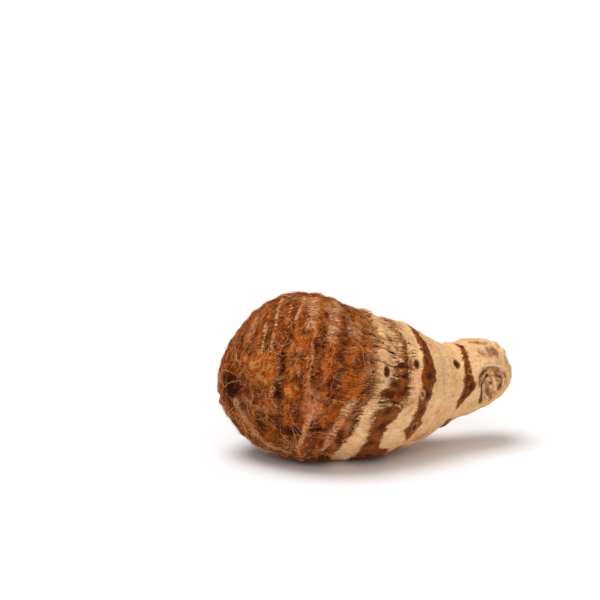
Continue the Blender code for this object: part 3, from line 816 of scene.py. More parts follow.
def attributeOf(tree, name, socket="Fac"):
    return output(tree, "ShaderNodeAttribute", None, socket, attribute_name=name)


# Kinds of mask. Each takes the two places on the skin, in ring space and flat, and its own values.
def noiseMask(tree, places, along, around, detail, roughness, distortion, start, end):
    noise = noiseAt(tree, places[0], along, around, detail, roughness, distortion)
    return smoothStep(tree, noise, start, end)


def raisedNoise(tree, places, name, weight, along, around, detail, roughness, start, end):
    noise = noiseAt(tree, places[0], along, around, detail, roughness)
    return smoothStep(tree, calc(tree, "MULTIPLY_ADD", attributeOf(tree, name), weight, noise), start, end)


def tornPatch(tree, places, name, along, around, start, end):
    return raisedNoise(tree, places, name, 1.0, along, around, *groupValues["patchNoise"], start, end)


def scarMask(tree, places, name, scale, reach, shift, start, end):
    noise = noiseAt(tree, places[0], scale, scale, *groupValues["scarNoise"])
    noise = calc(tree, "MULTIPLY_ADD", noise, reach, shift)
    return smoothStep(tree, calc(tree, "ADD", attributeOf(tree, name), noise), start, end)


def mottleMask(tree, places, along, around, size, middle):
    place = stretched(tree, places[0], along, around)
    return useGroup(tree, mottle, Place=place, Size=size, Middle=middle)


def strokeMask(tree, places, turn, length, width, level, bend):
    return useGroup(tree, strokes, Place=places[1], Turn=turn, Length=length, Width=width, Level=level,
                    Bend=bend)


def raggedArea(tree, places, name, tear, soft):
    return useGroup(tree, raggedMask, Depth=attributeOf(tree, name), Place=places[0], Tear=tear,
                    Soft=soft)


def plainMask(tree, places, name):
    return attributeOf(tree, name)


# Layers of colour, from the lowest up: kind of mask, its values, strength, tone, and the name of
# a share that limits it.
neckLayers = [
    (mottleMask, (1.0, 1.0, 8.0, 0.5), 1.0, "pinkTan"),
    (mottleMask, (1.3, 0.8, 4.5, 0.57), 0.8, "yellowTan"),
    (mottleMask, (0.8, 1.4, 3.6, 0.58), 0.5, "cream"),
    (strokeMask, (0.02, 4.0, 0.42, 0.54, 1.0), 0.45, "greyTan", "open"),
    (strokeMask, (-0.06, 6.0, 0.6, 0.57, 1.2), 0.5, "speck", "open"),
    (noiseMask, (1.1, 1.4, 2, 0.5, 0, 0.61, 0.69), 0.5, "speck"),
    (raisedNoise, ("crackZone", 0.06, 0.45, 1.2, 5, 0.75, 0.55, 0.64), 0.42, "greyTan"),
    (noiseMask, (0.55, 0.8, 5, 0.7, 0, 0.46, 0.6), 0.75, "speck", "knot"),
    (tornPatch, ("stain", 0.34, 0.45, 0.9, 1.25), 0.7, "brown"),
    (noiseMask, (0.3, 0.34, 5, 0.7, 0, 0.56, 0.68), 0.35, "orangeBrown"),
    (noiseMask, (0.36, 0.42, 6, 0.7, 0, 0.46, 0.56), 0.82, "olive", "cracked"),
    (strokeMask, (0.03, 4.2, 0.5, 0.59, 1.2), 0.9, "dark", "mostCracked"),
]
barkUnder = [
    (noiseMask, (0.2, 0.13, 5, 0.62, 0, 0.38, 0.62), 1.0, "orangeBrown"),
    (noiseMask, (0.3, 0.15, 5, 0.65, 0, 0.5, 0.57), 0.85, "deepBrown"),
    (noiseMask, (0.2, 0.24, 5, 0.65, 0, 0.54, 0.64), 0.6, "maroon"),
    (noiseMask, (0.24, 0.2, 6, 0.7, 0, 0.54, 0.64), 0.6, "dust"),
    (noiseMask, (0.34, 0.3, 2, 0.5, 0.8, 0.54, 0.6), 0.55, "maroon"),
    (noiseMask, (0.42, 0.3, 3, 0.6, 0.8, 0.57, 0.64), 0.6, "paleFibre"),
    # painted shade in the grooves before the ridges, then painted highlight on the ridges
    (tornPatch, ("groove", 0.4, 0.25, 0.7, 1.3), 0.75, "deepBrown"),
    (tornPatch, ("ridge", 0.5, 0.35, 1.25, 1.6), 0.6, "paleFibre"),
    (tornPatch, ("warmPatch", 0.7, 0.6, 0.8, 1.25), 0.8, "orange"),
    (tornPatch, ("wornBark", 0.7, 0.5, 0.75, 1.3), 0.62, "dust"),
    (tornPatch, ("pinkPatch", 0.5, 0.4, 0.85, 1.35), 0.8, "pink"),
]
barkOver = [
    (tornPatch, ("wornBark", 0.9, 0.6, 1.0, 1.5), 0.8, "bareBark", "nap"),
    (tornPatch, ("pinkPatch", 0.8, 0.6, 1.0, 1.5), 0.7, "blush", "nap"),
    (strokeMask, (0.06, 3.0, 0.4, 0.5, 1.5), 0.6, "hairTip", "combed"),
    (tornPatch, ("darkPatch", 0.6, 0.5, 0.7, 1.15), 0.75, "maroon"),
    (tornPatch, ("darkPatch", 0.9, 0.9, 1.05, 1.4), 0.7, "dark"),
    (tornPatch, ("paleRing", 0.5, 0.5, 0.8, 1.5), 0.3, "pink"),
    (tornPatch, ("paleRing", 1.0, 0.6, 1.05, 1.75), 1.0, "ringWhite", "tufts"),
    # pale lines; the first of them is a painted highlight along the underside's edge
    (raggedArea, ("paleLine", 1.5, 0.8), 0.9, "paleRing", "tufts"),
    (raisedNoise, ("dottedRing", 0.24, 0.5, 1.5, 2, 0.5, 0.70, 0.79), 0.9, "ringWhite"),
]
bandLayers = [
    (noiseMask, (0.4, 0.35, 5, 0.65, 0, 0.42, 0.6), 1.0, "brown"),
    (strokeMask, (0.03, 2.0, 0.45, 0.56, 1.5), 0.5, "orangeBrown"),
    (noiseMask, (0.8, 0.7, 4, 0.65, 0, 0.58, 0.66), 0.55, "greyTan"),
    (noiseMask, (1.0, 0.9, 4, 0.65, 0, 0.53, 0.63), 0.65, "deepBrown"),
    (scarMask, ("bandSpot", 1.2, 3.0, -1.6, -0.2, 1.0), 0.6, "deepBrown"),
    (scarMask, ("bandSpot", 1.2, 3.0, -1.6, 0.8, 1.5), 0.55, "dark"),
]
scurfLayers = [
    (noiseMask, (0.3, 0.3, 3, 0.6, 0, 0.45, 0.58), 1.0, "orangeBrown"),
    (noiseMask, (0.55, 0.55, 7, 0.8, 0, 0.52, 0.43), 0.85, "scurfDark"),
    (noiseMask, (1.3, 1.3, 4, 0.7, 0, 0.56, 0.63), 0.5, "yellowTan"),
    (noiseMask, (1.1, 1.1, 4, 0.7, 0, 0.56, 0.64), 0.6, "brown"),
]
markLayers = [
    (plainMask, ("paleLoop",), 0.8, "paleRing"),
    (raggedArea, ("softCrack", 0.8, 0.9), 0.62, "brown"),
    (scarMask, ("rootScar", 0.9, 0.9, -0.2, -0.7, -0.3), 1.0, "yellowTan", "rootEdge"),
    (scarMask, ("rootScar", 0.9, 0.9, -0.2, -0.25, 0.25), 0.85, "brown"),
    (scarMask, ("rootScar", 0.9, 0.9, -0.2, 0.2, 0.9), 0.8, "dark"),
    # cracks darkened with a brown halo, then a dark line: partly their own colour, partly painted shade in
    # and around them
    (raggedArea, ("darkCrack", 0.5, 0.8), 0.6, "brown"),
    (raggedArea, ("darkCrack", 0.4, 0.3), 0.8, "dark"),
    # painted highlight on the knot's rims
    (raggedArea, ("knotRim", 0.4, 0.4), 0.7, "cream"),
]

# Strokes of the bark: turn, length, width, level, strength and tone of each set. The dark and deep brown ones
# are partly the bark's own dark fibres, partly painted shade in its pits.
barkStrokes = [
    (1.35, 5.0, 0.50, 0.57, 0.60, "deepBrown"),
    (0.10, 3.0, 0.50, 0.57, 0.50, "dark"),
    (-0.55, 3.0, 0.36, 0.57, 0.40, "orange"),
    (0.25, 2.6, 0.34, 0.57, 0.30, "paleFibre"),
    (1.10, 4.0, 0.30, 0.58, 0.30, "paleFibre"),
    (-0.95, 3.5, 0.28, 0.60, 0.40, "paleFibre"),
    (0.60, 5.0, 0.22, 0.63, 0.35, "cream"),
    (1.50, 6.0, 0.55, 0.63, 0.60, "dark"),
]

# Crumbs of the bark: size lengthwise, size round, level, strength and tone of each set. The cream crumbs are
# painted highlights, small bright glints; the deep brown and dark crumbs are partly the bark's own flecks,
# partly painted shade in its pits.
barkCrumbs = [
    (1.9, 1.6, 0.54, 0.50, "deepBrown"),
    (2.6, 2.0, 0.55, 0.42, "orange"),
    (1.8, 2.0, 0.57, 0.40, "pink"),
    (1.3, 1.4, 0.59, 0.45, "paleFibre"),
    (1.0, 1.2, 0.585, 0.72, "dark"),
    # painted highlights: small bright glints
    (0.9, 1.0, 0.625, 0.75, "cream"),
]

# Other values of the skin's material.
skinValues = {
    "neckTip": (108.0, 98.0),           # rings between which the neck's strokes fade in
    "barkTip": (6.0, 16.0),             # the same for the bark's strokes
    "open": (0.7, 0.3),                 # share added by the cracked zone, and share elsewhere
    "knot": (0.1, 0.5),                 # start and end of each share
    "cracked": (0.0, 0.6),
    "mostCracked": (0.0, 0.5),
    "matted": (5.5, 0.5, 0.75, 0.25),   # size and middle of the blotches, their share, the rest's
    "nap": (1.5, 0.9, 5.0, 0.75, 0.25),         # scale along and round, detail, roughness, least share
    "tufts": (1.1, 1.6, 4.0, 0.7, 0.12),
    "napEdge": (0.44, 0.56),            # levels of that noise between which it fades
    "crumbNoise": (4.0, 0.7),
    "crumbShift": 17.0,
    "crumbSoft": 0.09,
    "strokeBend": 3.0,
    "pits": ("dark", "deepBrown"),      # tones that lie lower in the fine relief: partly the bark's own dark flecks, partly painted shade in its pits
    "hairs": ("paleFibre", "cream"),    # tones of the strokes that keep to the matted blotches
    "bandPlace": (0.8, 1.3),
    "bandTear": (1.5, 0.95),            # added by the cracked zone, and elsewhere
    "bandSoft": 0.4,
    "barkTear": (1.1, 0.5),             # tear and softness of the bark's edge
    "scurfPatch": (0.3, 0.3, 0.65, 1.1),
    "scurfStrength": 0.95,
    "rootEdge": (-0.24, 0.3),           # how pale a root scar's rim is: added on bark, and on the neck
    "roughness": (0.55, 0.82),          # of the neck and the bark
    "specular": 0.07,
    "bumpNoise": (1.4, 2.0, 4.0, 0.65),
    "crackEdge": (0.4, 0.3),
    "bumpStrength": 0.8,
    "bumpDistance": 0.3 * mm,
}


def laidOver(tree, colour, mask, strength, over):       # one more layer of colour
    return mixColour(tree, calc(tree, "MULTIPLY", mask, strength), colour, over)


def withLayers(tree, places, colour, layers, **shares):
    for maskOf, values, strength, over, *limits in layers:
        mask = maskOf(tree, places, *values)
        for limit in limits:
            mask = calc(tree, "MULTIPLY", mask, shares[limit])
        colour = laidOver(tree, colour, mask, strength, skinTones[over])
    return colour


def offTip(tree, places, limits):
    return smoothStep(tree, separated(tree, places[0])["X"], *limits)


def neckColour(tree, places):
    zone = attributeOf(tree, "crackZone")
    zoneShare = calc(tree, "MULTIPLY_ADD", zone, *skinValues["open"])
    return withLayers(tree, places, skinTones["tan"], neckLayers,
                      open=calc(tree, "MULTIPLY", zoneShare, offTip(tree, places, skinValues["neckTip"])),
                      knot=smoothStep(tree, attributeOf(tree, "knot"), *skinValues["knot"]),
                      cracked=smoothStep(tree, zone, *skinValues["cracked"]),
                      mostCracked=smoothStep(tree, zone, *skinValues["mostCracked"]))


def napShare(tree, places, along, around, detail, roughness, least):
    noise = noiseAt(tree, places[0], along, around, detail, roughness)
    return calc(tree, "MULTIPLY_ADD", smoothStep(tree, noise, *skinValues["napEdge"]), 1 - least, least)


def barkMasks(tree, places):    # crumbs and strokes with their strengths and tones
    masks = []
    for number, (length, width, level, strength, over) in enumerate(barkCrumbs):
        place = vectorCalc(tree, "ADD", places[0], (skinValues["crumbShift"] * number, 0.0, 0.0))
        noise = noiseAt(tree, place, 1 / length, 1 / width, *skinValues["crumbNoise"])
        masks.append((smoothStep(tree, noise, level, level + skinValues["crumbSoft"]), strength, over))
    size, middle, share, rest = skinValues["matted"]
    matted = calc(tree, "MULTIPLY_ADD", mottleMask(tree, places, 1.0, 1.0, size, middle), share, rest)
    inside = offTip(tree, places, skinValues["barkTip"])
    for turn, length, width, level, strength, over in barkStrokes:
        mask = strokeMask(tree, places, turn, length, width, level, skinValues["strokeBend"])
        mask = calc(tree, "MULTIPLY", mask, inside)
        if over in skinValues["hairs"]:
            mask = calc(tree, "MULTIPLY", mask, matted)
        masks.append((mask, strength, over))
    return masks


def barkColour(tree, places):   # the colour, and the height for the bump
    colour = withLayers(tree, places, skinTones["redBrown"], barkUnder)
    light = 0.0
    deep = 0.0
    for mask, strength, over in barkMasks(tree, places):
        colour = laidOver(tree, colour, mask, strength, skinTones[over])
        if over in skinValues["pits"]:
            deep = calc(tree, "MAXIMUM", mask, deep)
        else:
            light = calc(tree, "MAXIMUM", mask, light)
    colour = withLayers(tree, places, colour, barkOver,
                        nap=napShare(tree, places, *skinValues["nap"]),
                        tufts=napShare(tree, places, *skinValues["tufts"]),
                        combed=attributeOf(tree, "combedEdge"))
    return colour, calc(tree, "SUBTRACT", light, deep)


def newMaterial(name, values):
    material = bpy.data.materials.new(name)
    material.use_nodes = True
    shader = material.node_tree.nodes["Principled BSDF"]
    setInputs(material.node_tree, shader, values)
    return material, material.node_tree, shader


def addBump(tree, shader, height, strength, distance):
    bump = output(tree, "ShaderNodeBump", {"Height": height, "Strength": strength, "Distance": distance})
    setInputs(tree, shader, {"Normal": bump})


def makeSkinMaterial():
    material, tree, shader = newMaterial("taroSkin", {"Specular IOR Level": skinValues["specular"]})
    places = [attributeOf(tree, name, "Vector") for name in ("ringSpace", "flatPlace")]
    bandPlaces = [stretched(tree, places[0], *skinValues["bandPlace"])]
    tear = calc(tree, "MULTIPLY_ADD", attributeOf(tree, "crackZone"), *skinValues["bandTear"])
    band = raggedArea(tree, bandPlaces, "bandDepth", tear, skinValues["bandSoft"])
    bark = raggedArea(tree, places, "barkDepth", *skinValues["barkTear"])
    woven, relief = barkColour(tree, places)
    bandColour = withLayers(tree, places, skinTones["bandBrown"], bandLayers)
    scurfColour = withLayers(tree, places, skinTones["scurf"], scurfLayers)
    scurf = tornPatch(tree, places, "scurf", *skinValues["scurfPatch"])
    colour = mixColour(tree, band, neckColour(tree, places), bandColour)
    colour = mixColour(tree, bark, colour, woven)
    colour = laidOver(tree, colour, scurf, skinValues["scurfStrength"], scurfColour)
    colour = withLayers(tree, places, colour, markLayers,
                        rootEdge=calc(tree, "MULTIPLY_ADD", bark, *skinValues["rootEdge"]))
    roughness = between(tree, bark, *skinValues["roughness"])
    setInputs(tree, shader, {"Base Color": colour, "Roughness": roughness})
    height = calc(tree, "ADD", calc(tree, "MULTIPLY", relief, bark),
                  noiseAt(tree, places[0], *skinValues["bumpNoise"]))
    height = calc(tree, "SUBTRACT", height, raggedArea(tree, places, "darkCrack", *skinValues["crackEdge"]))
    addBump(tree, shader, height, skinValues["bumpStrength"], skinValues["bumpDistance"])
    return material


# Fine relief of the skin, put on by geometry nodes.
barkRelief = {
    "Rib Height": 0.22 * mm,
    "Rib Spacing": 1.6,
    "Grain Height": 0.38 * mm,
    "Lump Height": 0.40 * mm,
    "Neck Share": 0.35,
    "Scar Depth": 0.35 * mm,
    "Band Height": 0.18 * mm,
    "Crack Depth": 0.75 * mm,
    "Soft Depth": 0.35 * mm,
}
reliefShape = {
    "ribRound": 0.12,                   # scale of the ribs round the corm
    "ribNoise": (2.0, 0.55),            # detail and roughness
    "grain": (0.75, 0.8, 3.0, 0.65),    # scale along and round, detail, roughness
    "lumps": (0.26, 0.24, 4.0, 0.6),
    "clearFloor": 2.5 * mm,             # the relief fades out towards the floor
    # depths between which a mark is pressed in or raised, and its size
    "marks": {"rootScar": (-0.4, 0.4, "Scar Depth"), "bandDepth": (-0.5, 0.6, "Band Height"),
              "darkCrack": (-0.6, 0.2, "Crack Depth"), "softCrack": (-0.6, 0.6, "Soft Depth")},
}


def namedValue(tree, name, kind="FLOAT"):
    return output(tree, "GeometryNodeInputNamedAttribute", {"Name": name}, data_type=kind)


def finishTree(tree, geometry, material, result):
    real = output(tree, "GeometryNodeRealizeInstances", {"Geometry": geometry})
    finished = output(tree, "GeometryNodeSetMaterial", {"Geometry": real, "Material": material})
    tree.links.new(finished, result["Geometry"])


def makeBarkRelief(material):
    inputs = [("Geometry", "Geometry", None)] + [(name, "Float", 0.0) for name in barkRelief]
    tree, given, result = nodeGroup("barkRelief", "GeometryNodeTree", inputs, [("Geometry", "Geometry")])

    def signed(noise):
        return calc(tree, "MULTIPLY_ADD", noise, 2.0, -1.0)

    marks = {}
    for name, (start, end, size) in reliefShape["marks"].items():
        mark = smoothStep(tree, namedValue(tree, name), start, end)
        marks[name] = calc(tree, "MULTIPLY", mark, given[size])
    ringSpace = namedValue(tree, "ringSpace", "FLOAT_VECTOR")
    ribRound = reliefShape["ribRound"]
    ribScale = combined(tree, calc(tree, "DIVIDE", 1.0, given["Rib Spacing"]), ribRound, ribRound)
    ribs = noiseValue(tree, vectorCalc(tree, "MULTIPLY", ringSpace, ribScale), *reliefShape["ribNoise"])
    grain = noiseAt(tree, ringSpace, *reliefShape["grain"])
    lumps = noiseAt(tree, ringSpace, *reliefShape["lumps"])
    height = calc(tree, "MULTIPLY", signed(ribs), given["Rib Height"])
    height = calc(tree, "MULTIPLY_ADD", signed(grain), given["Grain Height"], height)
    height = calc(tree, "MULTIPLY", height, between(tree, namedValue(tree, "bark"), given["Neck Share"], 1.0))
    height = calc(tree, "MULTIPLY_ADD", signed(lumps), given["Lump Height"], height)
    height = calc(tree, "ADD", calc(tree, "SUBTRACT", height, marks["rootScar"]), marks["bandDepth"])
    cracks = calc(tree, "ADD", marks["darkCrack"], marks["softCrack"])
    height = calc(tree, "SUBTRACT", height, cracks)
    upward = separated(tree, output(tree, "GeometryNodeInputPosition"))["Z"]
    height = calc(tree, "MULTIPLY", height, smoothStep(tree, upward, 0.0, reliefShape["clearFloor"]))
    offset = scaledBy(tree, output(tree, "GeometryNodeInputNormal"), height)
    moved = output(tree, "GeometryNodeSetPosition", {"Geometry": given["Geometry"], "Offset": offset})
    finishTree(tree, moved, material, result)
    return tree


def applyTree(piece, tree, values):             # run a tree and keep its result as a plain mesh
    modifier = piece.modifiers.new(tree.name, "NODES")
    modifier.node_group = tree
    for item in tree.interface.items_tree:
        if item.in_out == "INPUT" and item.name in values:
            modifier[item.identifier] = values[item.name]
    evaluated = piece.evaluated_get(bpy.context.evaluated_depsgraph_get())
    mesh = bpy.data.meshes.new_from_object(evaluated)
    piece.modifiers.remove(modifier)
    piece.data = mesh
    mesh.name = piece.name
    print(piece.name, sum(len(face.vertices) - 2 for face in mesh.polygons), "triangles")


print("skin")
skinMaterial = makeSkinMaterial()
applyTree(taroSkin, makeBarkRelief(skinMaterial), barkRelief)
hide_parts("taro_corm")
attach(taroSkin, "root")


# Fibres of the bark: curved hairs that lie on the skin.
fibreShape = {
    "tintShift": 90.0,                  # sets the waves of hairs of different tints apart
    "rootedArch": 1.6,
    "leastRise": 0.25,
    "aboveSkin": 0.4,                   # share of its thickness that a hair lies above the skin
    "thinEnd": 0.25,
    "sides": 3,
    "clearFloor": 0.05 * mm,
    # parts of the tint's range over which the three tones change
    "toMiddle": (0.05, 0.5),
    "toHigh": (0.6, 0.95),
    "blotch": (4.0, 0.55, 0.4),         # size, middle, strength
    "worn": (1.2, 0.6, 0.3),
    "specular": 0.05,
    "bump": (0.3, 0.05 * mm),           # strength, distance
}


def makeFibreTree(name, material, direction, maskName, steps, rooted):
    numbers = ["Density", "Shortest", "Longest", "Thickness", "Lift", "Wave", "Wave Size", "Spread"]
    inputs = [("Geometry", "Geometry", None)] + [(label, "Float", 0.0) for label in numbers]
    tree, given, result = nodeGroup(name, "GeometryNodeTree", inputs + [("Seed", "Int", 0)],
                                    [("Geometry", "Geometry")])

    def randomValue(low, high, offset):
        seed = calc(tree, "ADD", given["Seed"], offset)
        return output(tree, "FunctionNodeRandomValue", {2: low, 3: high, "Seed": seed}, 1, data_type="FLOAT")

    # hairs as straight lines on the skin
    skin = given["Geometry"]
    density = calc(tree, "MULTIPLY", namedValue(tree, maskName), given["Density"])
    spots = addNode(tree, "GeometryNodeDistributePointsOnFaces",
                    {"Mesh": skin, "Density": density, "Seed": given["Seed"]}).outputs
    facing = output(tree, "FunctionNodeAxesToRotation",
                    {0: spots["Normal"], 1: namedValue(tree, direction, "FLOAT_VECTOR")},
                    primary_axis="Z", secondary_axis="X")
    turn = randomValue(calc(tree, "MULTIPLY", given["Spread"], -1.0), given["Spread"], 1)
    turn = output(tree, "FunctionNodeAxisAngleToRotation", {"Axis": (0, 0, 1), "Angle": turn})
    turned = output(tree, "FunctionNodeRotateRotation", {0: facing, 1: turn}, rotation_space="LOCAL")
    start = 0.0 if rooted else -0.5
    line = output(tree, "GeometryNodeCurvePrimitiveLine", {"Start": (start, 0, 0), "End": (start + 1, 0, 0)})
    strand = output(tree, "GeometryNodeResampleCurve", {"Curve": line, "Count": steps})
    placed = output(tree, "GeometryNodeInstanceOnPoints",
                    {"Points": spots["Points"], "Instance": strand, "Rotation": turned,
                     "Scale": randomValue(given["Shortest"], given["Longest"], 2)})
    tinted = output(tree, "GeometryNodeStoreNamedAttribute",
                    {"Geometry": placed, "Name": "tint", "Value": randomValue(0.0, 1.0, 3)},
                    data_type="FLOAT", domain="INSTANCE")
    strands = output(tree, "GeometryNodeRealizeInstances", {"Geometry": tinted})

    # waves along them
    position = output(tree, "GeometryNodeInputPosition")
    along = output(tree, "GeometryNodeSplineParameter", None, "Factor")
    tint = namedValue(tree, "tint")
    wave = output(tree, "ShaderNodeTexNoise",
                  {"Vector": position, "W": calc(tree, "MULTIPLY", tint, fibreShape["tintShift"]),
                   "Scale": calc(tree, "DIVIDE", 1.0, given["Wave Size"]), "Detail": 1.0},
                  "Color", noise_dimensions="4D")
    bent = calc(tree, "MULTIPLY", given["Wave"], 2.0)
    if rooted:
        bent = calc(tree, "MULTIPLY", bent, along)
    sway = scaledBy(tree, centred(tree, wave), bent)
    swayed = output(tree, "GeometryNodeSetPosition", {"Geometry": strands, "Offset": sway})

    # back onto the skin, and lifted off it
    nearest = output(tree, "GeometryNodeProximity", {0: skin}, "Position", target_element="FACES")
    normal = output(tree, "GeometryNodeSampleNearestSurface",
                    {"Mesh": skin, "Value": output(tree, "GeometryNodeInputNormal")}, "Value",
                    data_type="FLOAT_VECTOR")
    if rooted:
        arch = calc(tree, "POWER", along, fibreShape["rootedArch"])
        taper = calc(tree, "SUBTRACT", 1.0, calc(tree, "POWER", along, 2.0))
    else:
        arch = calc(tree, "SINE", calc(tree, "MULTIPLY", along, math.pi))
        taper = arch
    rise = calc(tree, "MULTIPLY", calc(tree, "MULTIPLY", arch, given["Lift"]),
                calc(tree, "ADD", tint, fibreShape["leastRise"]))
    rise = calc(tree, "ADD", rise, calc(tree, "MULTIPLY", given["Thickness"], fibreShape["aboveSkin"]))
    lifted = vectorCalc(tree, "ADD", nearest, scaledBy(tree, normal, rise))
    laid = output(tree, "GeometryNodeSetPosition", {"Geometry": swayed, "Position": lifted})

    # tubes, kept off the floor
    thinEnd = fibreShape["thinEnd"]
    thick = calc(tree, "MULTIPLY", given["Thickness"],
                 calc(tree, "MULTIPLY_ADD", taper, 1 - thinEnd, thinEnd))
    profile = output(tree, "GeometryNodeCurvePrimitiveCircle",
                     {"Resolution": fibreShape["sides"], "Radius": 1.0}, mode="RADIUS")
    tubes = output(tree, "GeometryNodeCurveToMesh",
                   {"Curve": laid, "Profile Curve": profile, "Scale": thick, "Fill Caps": True})
    parts = separated(tree, position)
    above = combined(tree, parts["X"], parts["Y"],
                     calc(tree, "MAXIMUM", parts["Z"], fibreShape["clearFloor"]))
    clear = output(tree, "GeometryNodeSetPosition", {"Geometry": tubes, "Position": above})
    finishTree(tree, clear, material, result)
    return tree


def makeFibreMaterial(name, low, middle, high, roughness):
    material, tree, shader = newMaterial(
        name, {"Roughness": roughness, "Specular IOR Level": fibreShape["specular"]})
    place = scaledBy(tree, output(tree, "ShaderNodeTexCoord", None, "Object"), 1 / mm)
    tint = attributeOf(tree, "tint")
    colour = skinTones[low]
    for limits, over in (("toMiddle", middle), ("toHigh", high)):
        colour = mixColour(tree, smoothStep(tree, tint, *fibreShape[limits]), colour, skinTones[over])
    for values, over in (("blotch", low), ("worn", "deepBrown")):
        size, level, strength = fibreShape[values]
        mask = mottleMask(tree, [place], 1.0, 1.0, size, level)
        colour = laidOver(tree, colour, mask, strength, skinTones[over])
    setInputs(tree, shader, {"Base Color": colour})
    addBump(tree, shader, mask, *fibreShape["bump"])
    return material


fibrePieces = {
    "mattedFibres": {
        "colour": "pale", "direction": "crosswise", "mask": "fuzzMask", "steps": 11, "rooted": False,
        "sizes": {"Density": 0.17e6, "Shortest": 3 * mm, "Longest": 10 * mm, "Thickness": 0.045 * mm,
                  "Lift": 0.3 * mm, "Wave": 2.6 * mm, "Wave Size": 4.0 * mm, "Spread": 1.57, "Seed": 3},
    },
    "ringFringe": {
        "colour": "brown", "direction": "backward", "mask": "fringeMask", "steps": 4, "rooted": True,
        "sizes": {"Density": 0.6e6, "Shortest": 1.2 * mm, "Longest": 4.0 * mm, "Thickness": 0.06 * mm,
                  "Lift": 0.5 * mm, "Wave": 0.9 * mm, "Wave Size": 4 * mm, "Spread": 0.7, "Seed": 11},
    },
    "looseHairs": {
        "colour": "cream", "direction": "crosswise", "mask": "fuzzMask", "steps": 16, "rooted": False,
        "sizes": {"Density": 0.03e6, "Shortest": 5 * mm, "Longest": 17 * mm, "Thickness": 0.06 * mm,
                  "Lift": 1.3 * mm, "Wave": 4.5 * mm, "Wave Size": 6 * mm, "Spread": 1.57, "Seed": 23},
    },
    "edgeFringe": {
        "colour": "cream", "direction": "lengthwise", "mask": "edgeMask", "steps": 5, "rooted": True,
        "sizes": {"Density": 0.9e6, "Shortest": 1.5 * mm, "Longest": 5 * mm, "Thickness": 0.055 * mm,
                  "Lift": 0.4 * mm, "Wave": 1.2 * mm, "Wave Size": 3 * mm, "Spread": 0.9, "Seed": 41},
    },
    "barkFuzz": {
        "colour": "pale", "direction": "lengthwise", "mask": "fuzzMask", "steps": 3, "rooted": True,
        "sizes": {"Density": 0.7e6, "Shortest": 0.8 * mm, "Longest": 2.6 * mm, "Thickness": 0.04 * mm,
                  "Lift": 0.8 * mm, "Wave": 0.9 * mm, "Wave Size": 1.6 * mm, "Spread": 3.1, "Seed": 31},
    },
}


# Where the fibres grow: the limits and the shares of the marks on the skin.
fibreMasks = {
    "bark": (-0.6, 1.0),
    "scurf": (0.2, 0.6),
    "clumps": (0.9, 2.0, 3),            # rings, how far they sway, and how often round the corm
    "shootEnd": (8, 20),
    "clumpShares": (0.45, 0.3),         # fuzz everywhere, and in the clumps
    "paleRing": 0.5,
    "shootShare": 0.2,
    "lessOnScurf": 0.92,
    "lessInDark": 0.7,
    "ridge": (0.45, 0.95),
    "edge": (-1.0, 0.5),
}


def addFibreMasks(field):
    paint = field["paint"]
    bark = ramp(*fibreMasks["bark"], paint["barkDepth"])
    scurf = ramp(*fibreMasks["scurf"], paint["scurf"])
    rings, sway, turns = fibreMasks["clumps"]
    clumps = np.sin(field["ring"] * rings + sway * np.sin(turns * field["around"]))
    shootEnd = 1 - ramp(*fibreMasks["shootEnd"], field["ring"])
    least, most = fibreMasks["clumpShares"]
    fuzz = bark * (least + most * clumps + fibreMasks["paleRing"] * paint["paleRing"]
                   + fibreMasks["shootShare"] * shootEnd)
    fuzz = fuzz * (1 - fibreMasks["lessOnScurf"] * scurf)
    fuzz = fuzz * (1 - fibreMasks["lessInDark"] * paint["darkPatch"])
    masks = {
        "fuzzMask": np.clip(fuzz, 0, 1),
        "fringeMask": bark * ramp(*fibreMasks["ridge"], paint["ridge"]) * (1 - scurf),
        "backward": -field["lengthwise"],
        "edgeMask": paint["combedEdge"] * ramp(*fibreMasks["edge"], paint["barkDepth"]),
    }
    for name, values in masks.items():
        addAttribute(taroSkin.data, name, values)


print("fibres")
addFibreMasks(field)
fibreMaterials = {
    "pale": makeFibreMaterial("paleFibre", "redBrown", "paleFibre", "cream", 0.7),
    "brown": makeFibreMaterial("brownFibre", "deepBrown", "orangeBrown", "paleFibre", 0.8),
    "cream": makeFibreMaterial("creamFibre", "paleFibre", "hair", "hairTip", 0.7),
}
for name, plan in fibrePieces.items():
    tree = makeFibreTree(name, fibreMaterials[plan["colour"]], plan["direction"], plan["mask"], plan["steps"],
                         plan["rooted"])
    piece = addObject(name, taroSkin.data.copy())
    applyTree(piece, tree, plan["sizes"])
    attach(piece, "root")


# The floor, the light and the camera.
studio = {
    "floorSize": 6.0,
    "floorTone": (0.93, 0.93, 0.94, 1.0),
    "floorRoughness": 0.9,
    "worldTone": (1.0, 0.99, 0.98, 1.0),
    "worldStrength": 0.30,
    "backdropStrength": 1.1,
    # broad suns: name, direction they shine from, strength, angle across in degrees
    "lights": [("topLight", (-0.25, 0.05, 1.0), 2.2, 40),
               ("frontLight", (-0.4, -1.0, 0.75), 0.95, 60)],
    "cameraAim": (56.0, 0.0, 27.5),     # in the corm's own frame, in millimetres
    "aimPixel": (367.5, 380.0),
    "imageSize": 600,
    "azimuth": -15.0,
    "elevation": 10.0,
    "distance": 0.62,
    "lens": 100.0,
    "sensor": 36.0,
}


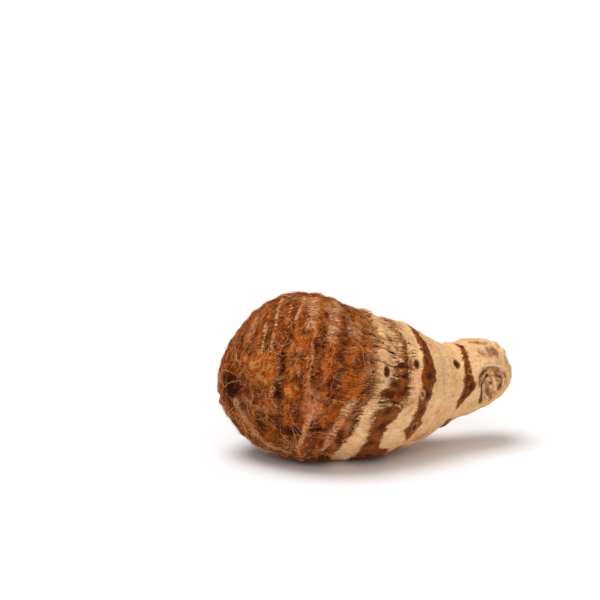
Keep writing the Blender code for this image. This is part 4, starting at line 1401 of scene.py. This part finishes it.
def makeFloor():
    size = studio["floorSize"] / 2
    corners = [(-size, -size, 0), (size, -size, 0), (size, size, 0), (-size, size, 0)]
    mesh = bpy.data.meshes.new("floor")
    mesh.from_pydata(corners, [], [(0, 1, 2, 3)])
    material = newMaterial(
        "floor", {"Base Color": studio["floorTone"], "Roughness": studio["floorRoughness"]})[0]
    mesh.materials.append(material)
    addObject("floor", mesh)


def makeLights():
    world = bpy.data.worlds.new("studio")
    world.use_nodes = True
    tree = world.node_tree
    seen = output(tree, "ShaderNodeLightPath", None, "Is Camera Ray")
    brightness = between(tree, seen, studio["worldStrength"], studio["backdropStrength"])
    setInputs(tree, tree.nodes["Background"], {"Color": studio["worldTone"], "Strength": brightness})
    bpy.context.scene.world = world
    for name, direction, strength, width in studio["lights"]:
        lamp = bpy.data.lights.new(name, "SUN")
        lamp.energy = strength
        lamp.angle = math.radians(width)
        light = addObject(name, lamp)
        light.rotation_euler = Vector(direction).to_track_quat("Z", "Y").to_euler()


def makeCamera():
    azimuth = math.radians(studio["azimuth"])
    elevation = math.radians(studio["elevation"])
    back = Vector((math.sin(azimuth) * math.cos(elevation), -math.cos(azimuth) * math.cos(elevation),
                   math.sin(elevation)))
    right = Vector((math.cos(azimuth), math.sin(azimuth), 0))
    up = back.cross(right)
    perPixel = studio["distance"] * studio["sensor"] / studio["lens"] / studio["imageSize"]
    acrossPixels = studio["aimPixel"][0] - studio["imageSize"] / 2
    downPixels = studio["aimPixel"][1] - studio["imageSize"] / 2
    aim = Vector((np.array(studio["cameraAim"]) - shift) * mm)
    data = bpy.data.cameras.new("camera")
    data.lens = studio["lens"]
    data.sensor_width = studio["sensor"]
    camera = addObject("camera", data)
    camera.location = (aim + back * studio["distance"] - right * acrossPixels * perPixel
                       + up * downPixels * perPixel)
    camera.rotation_euler = back.to_track_quat("Z", "Y").to_euler()
    bpy.context.scene.camera = camera


print("studio")
makeFloor()
makeLights()
makeCamera()
bpy.context.scene.view_settings.view_transform = "Standard"
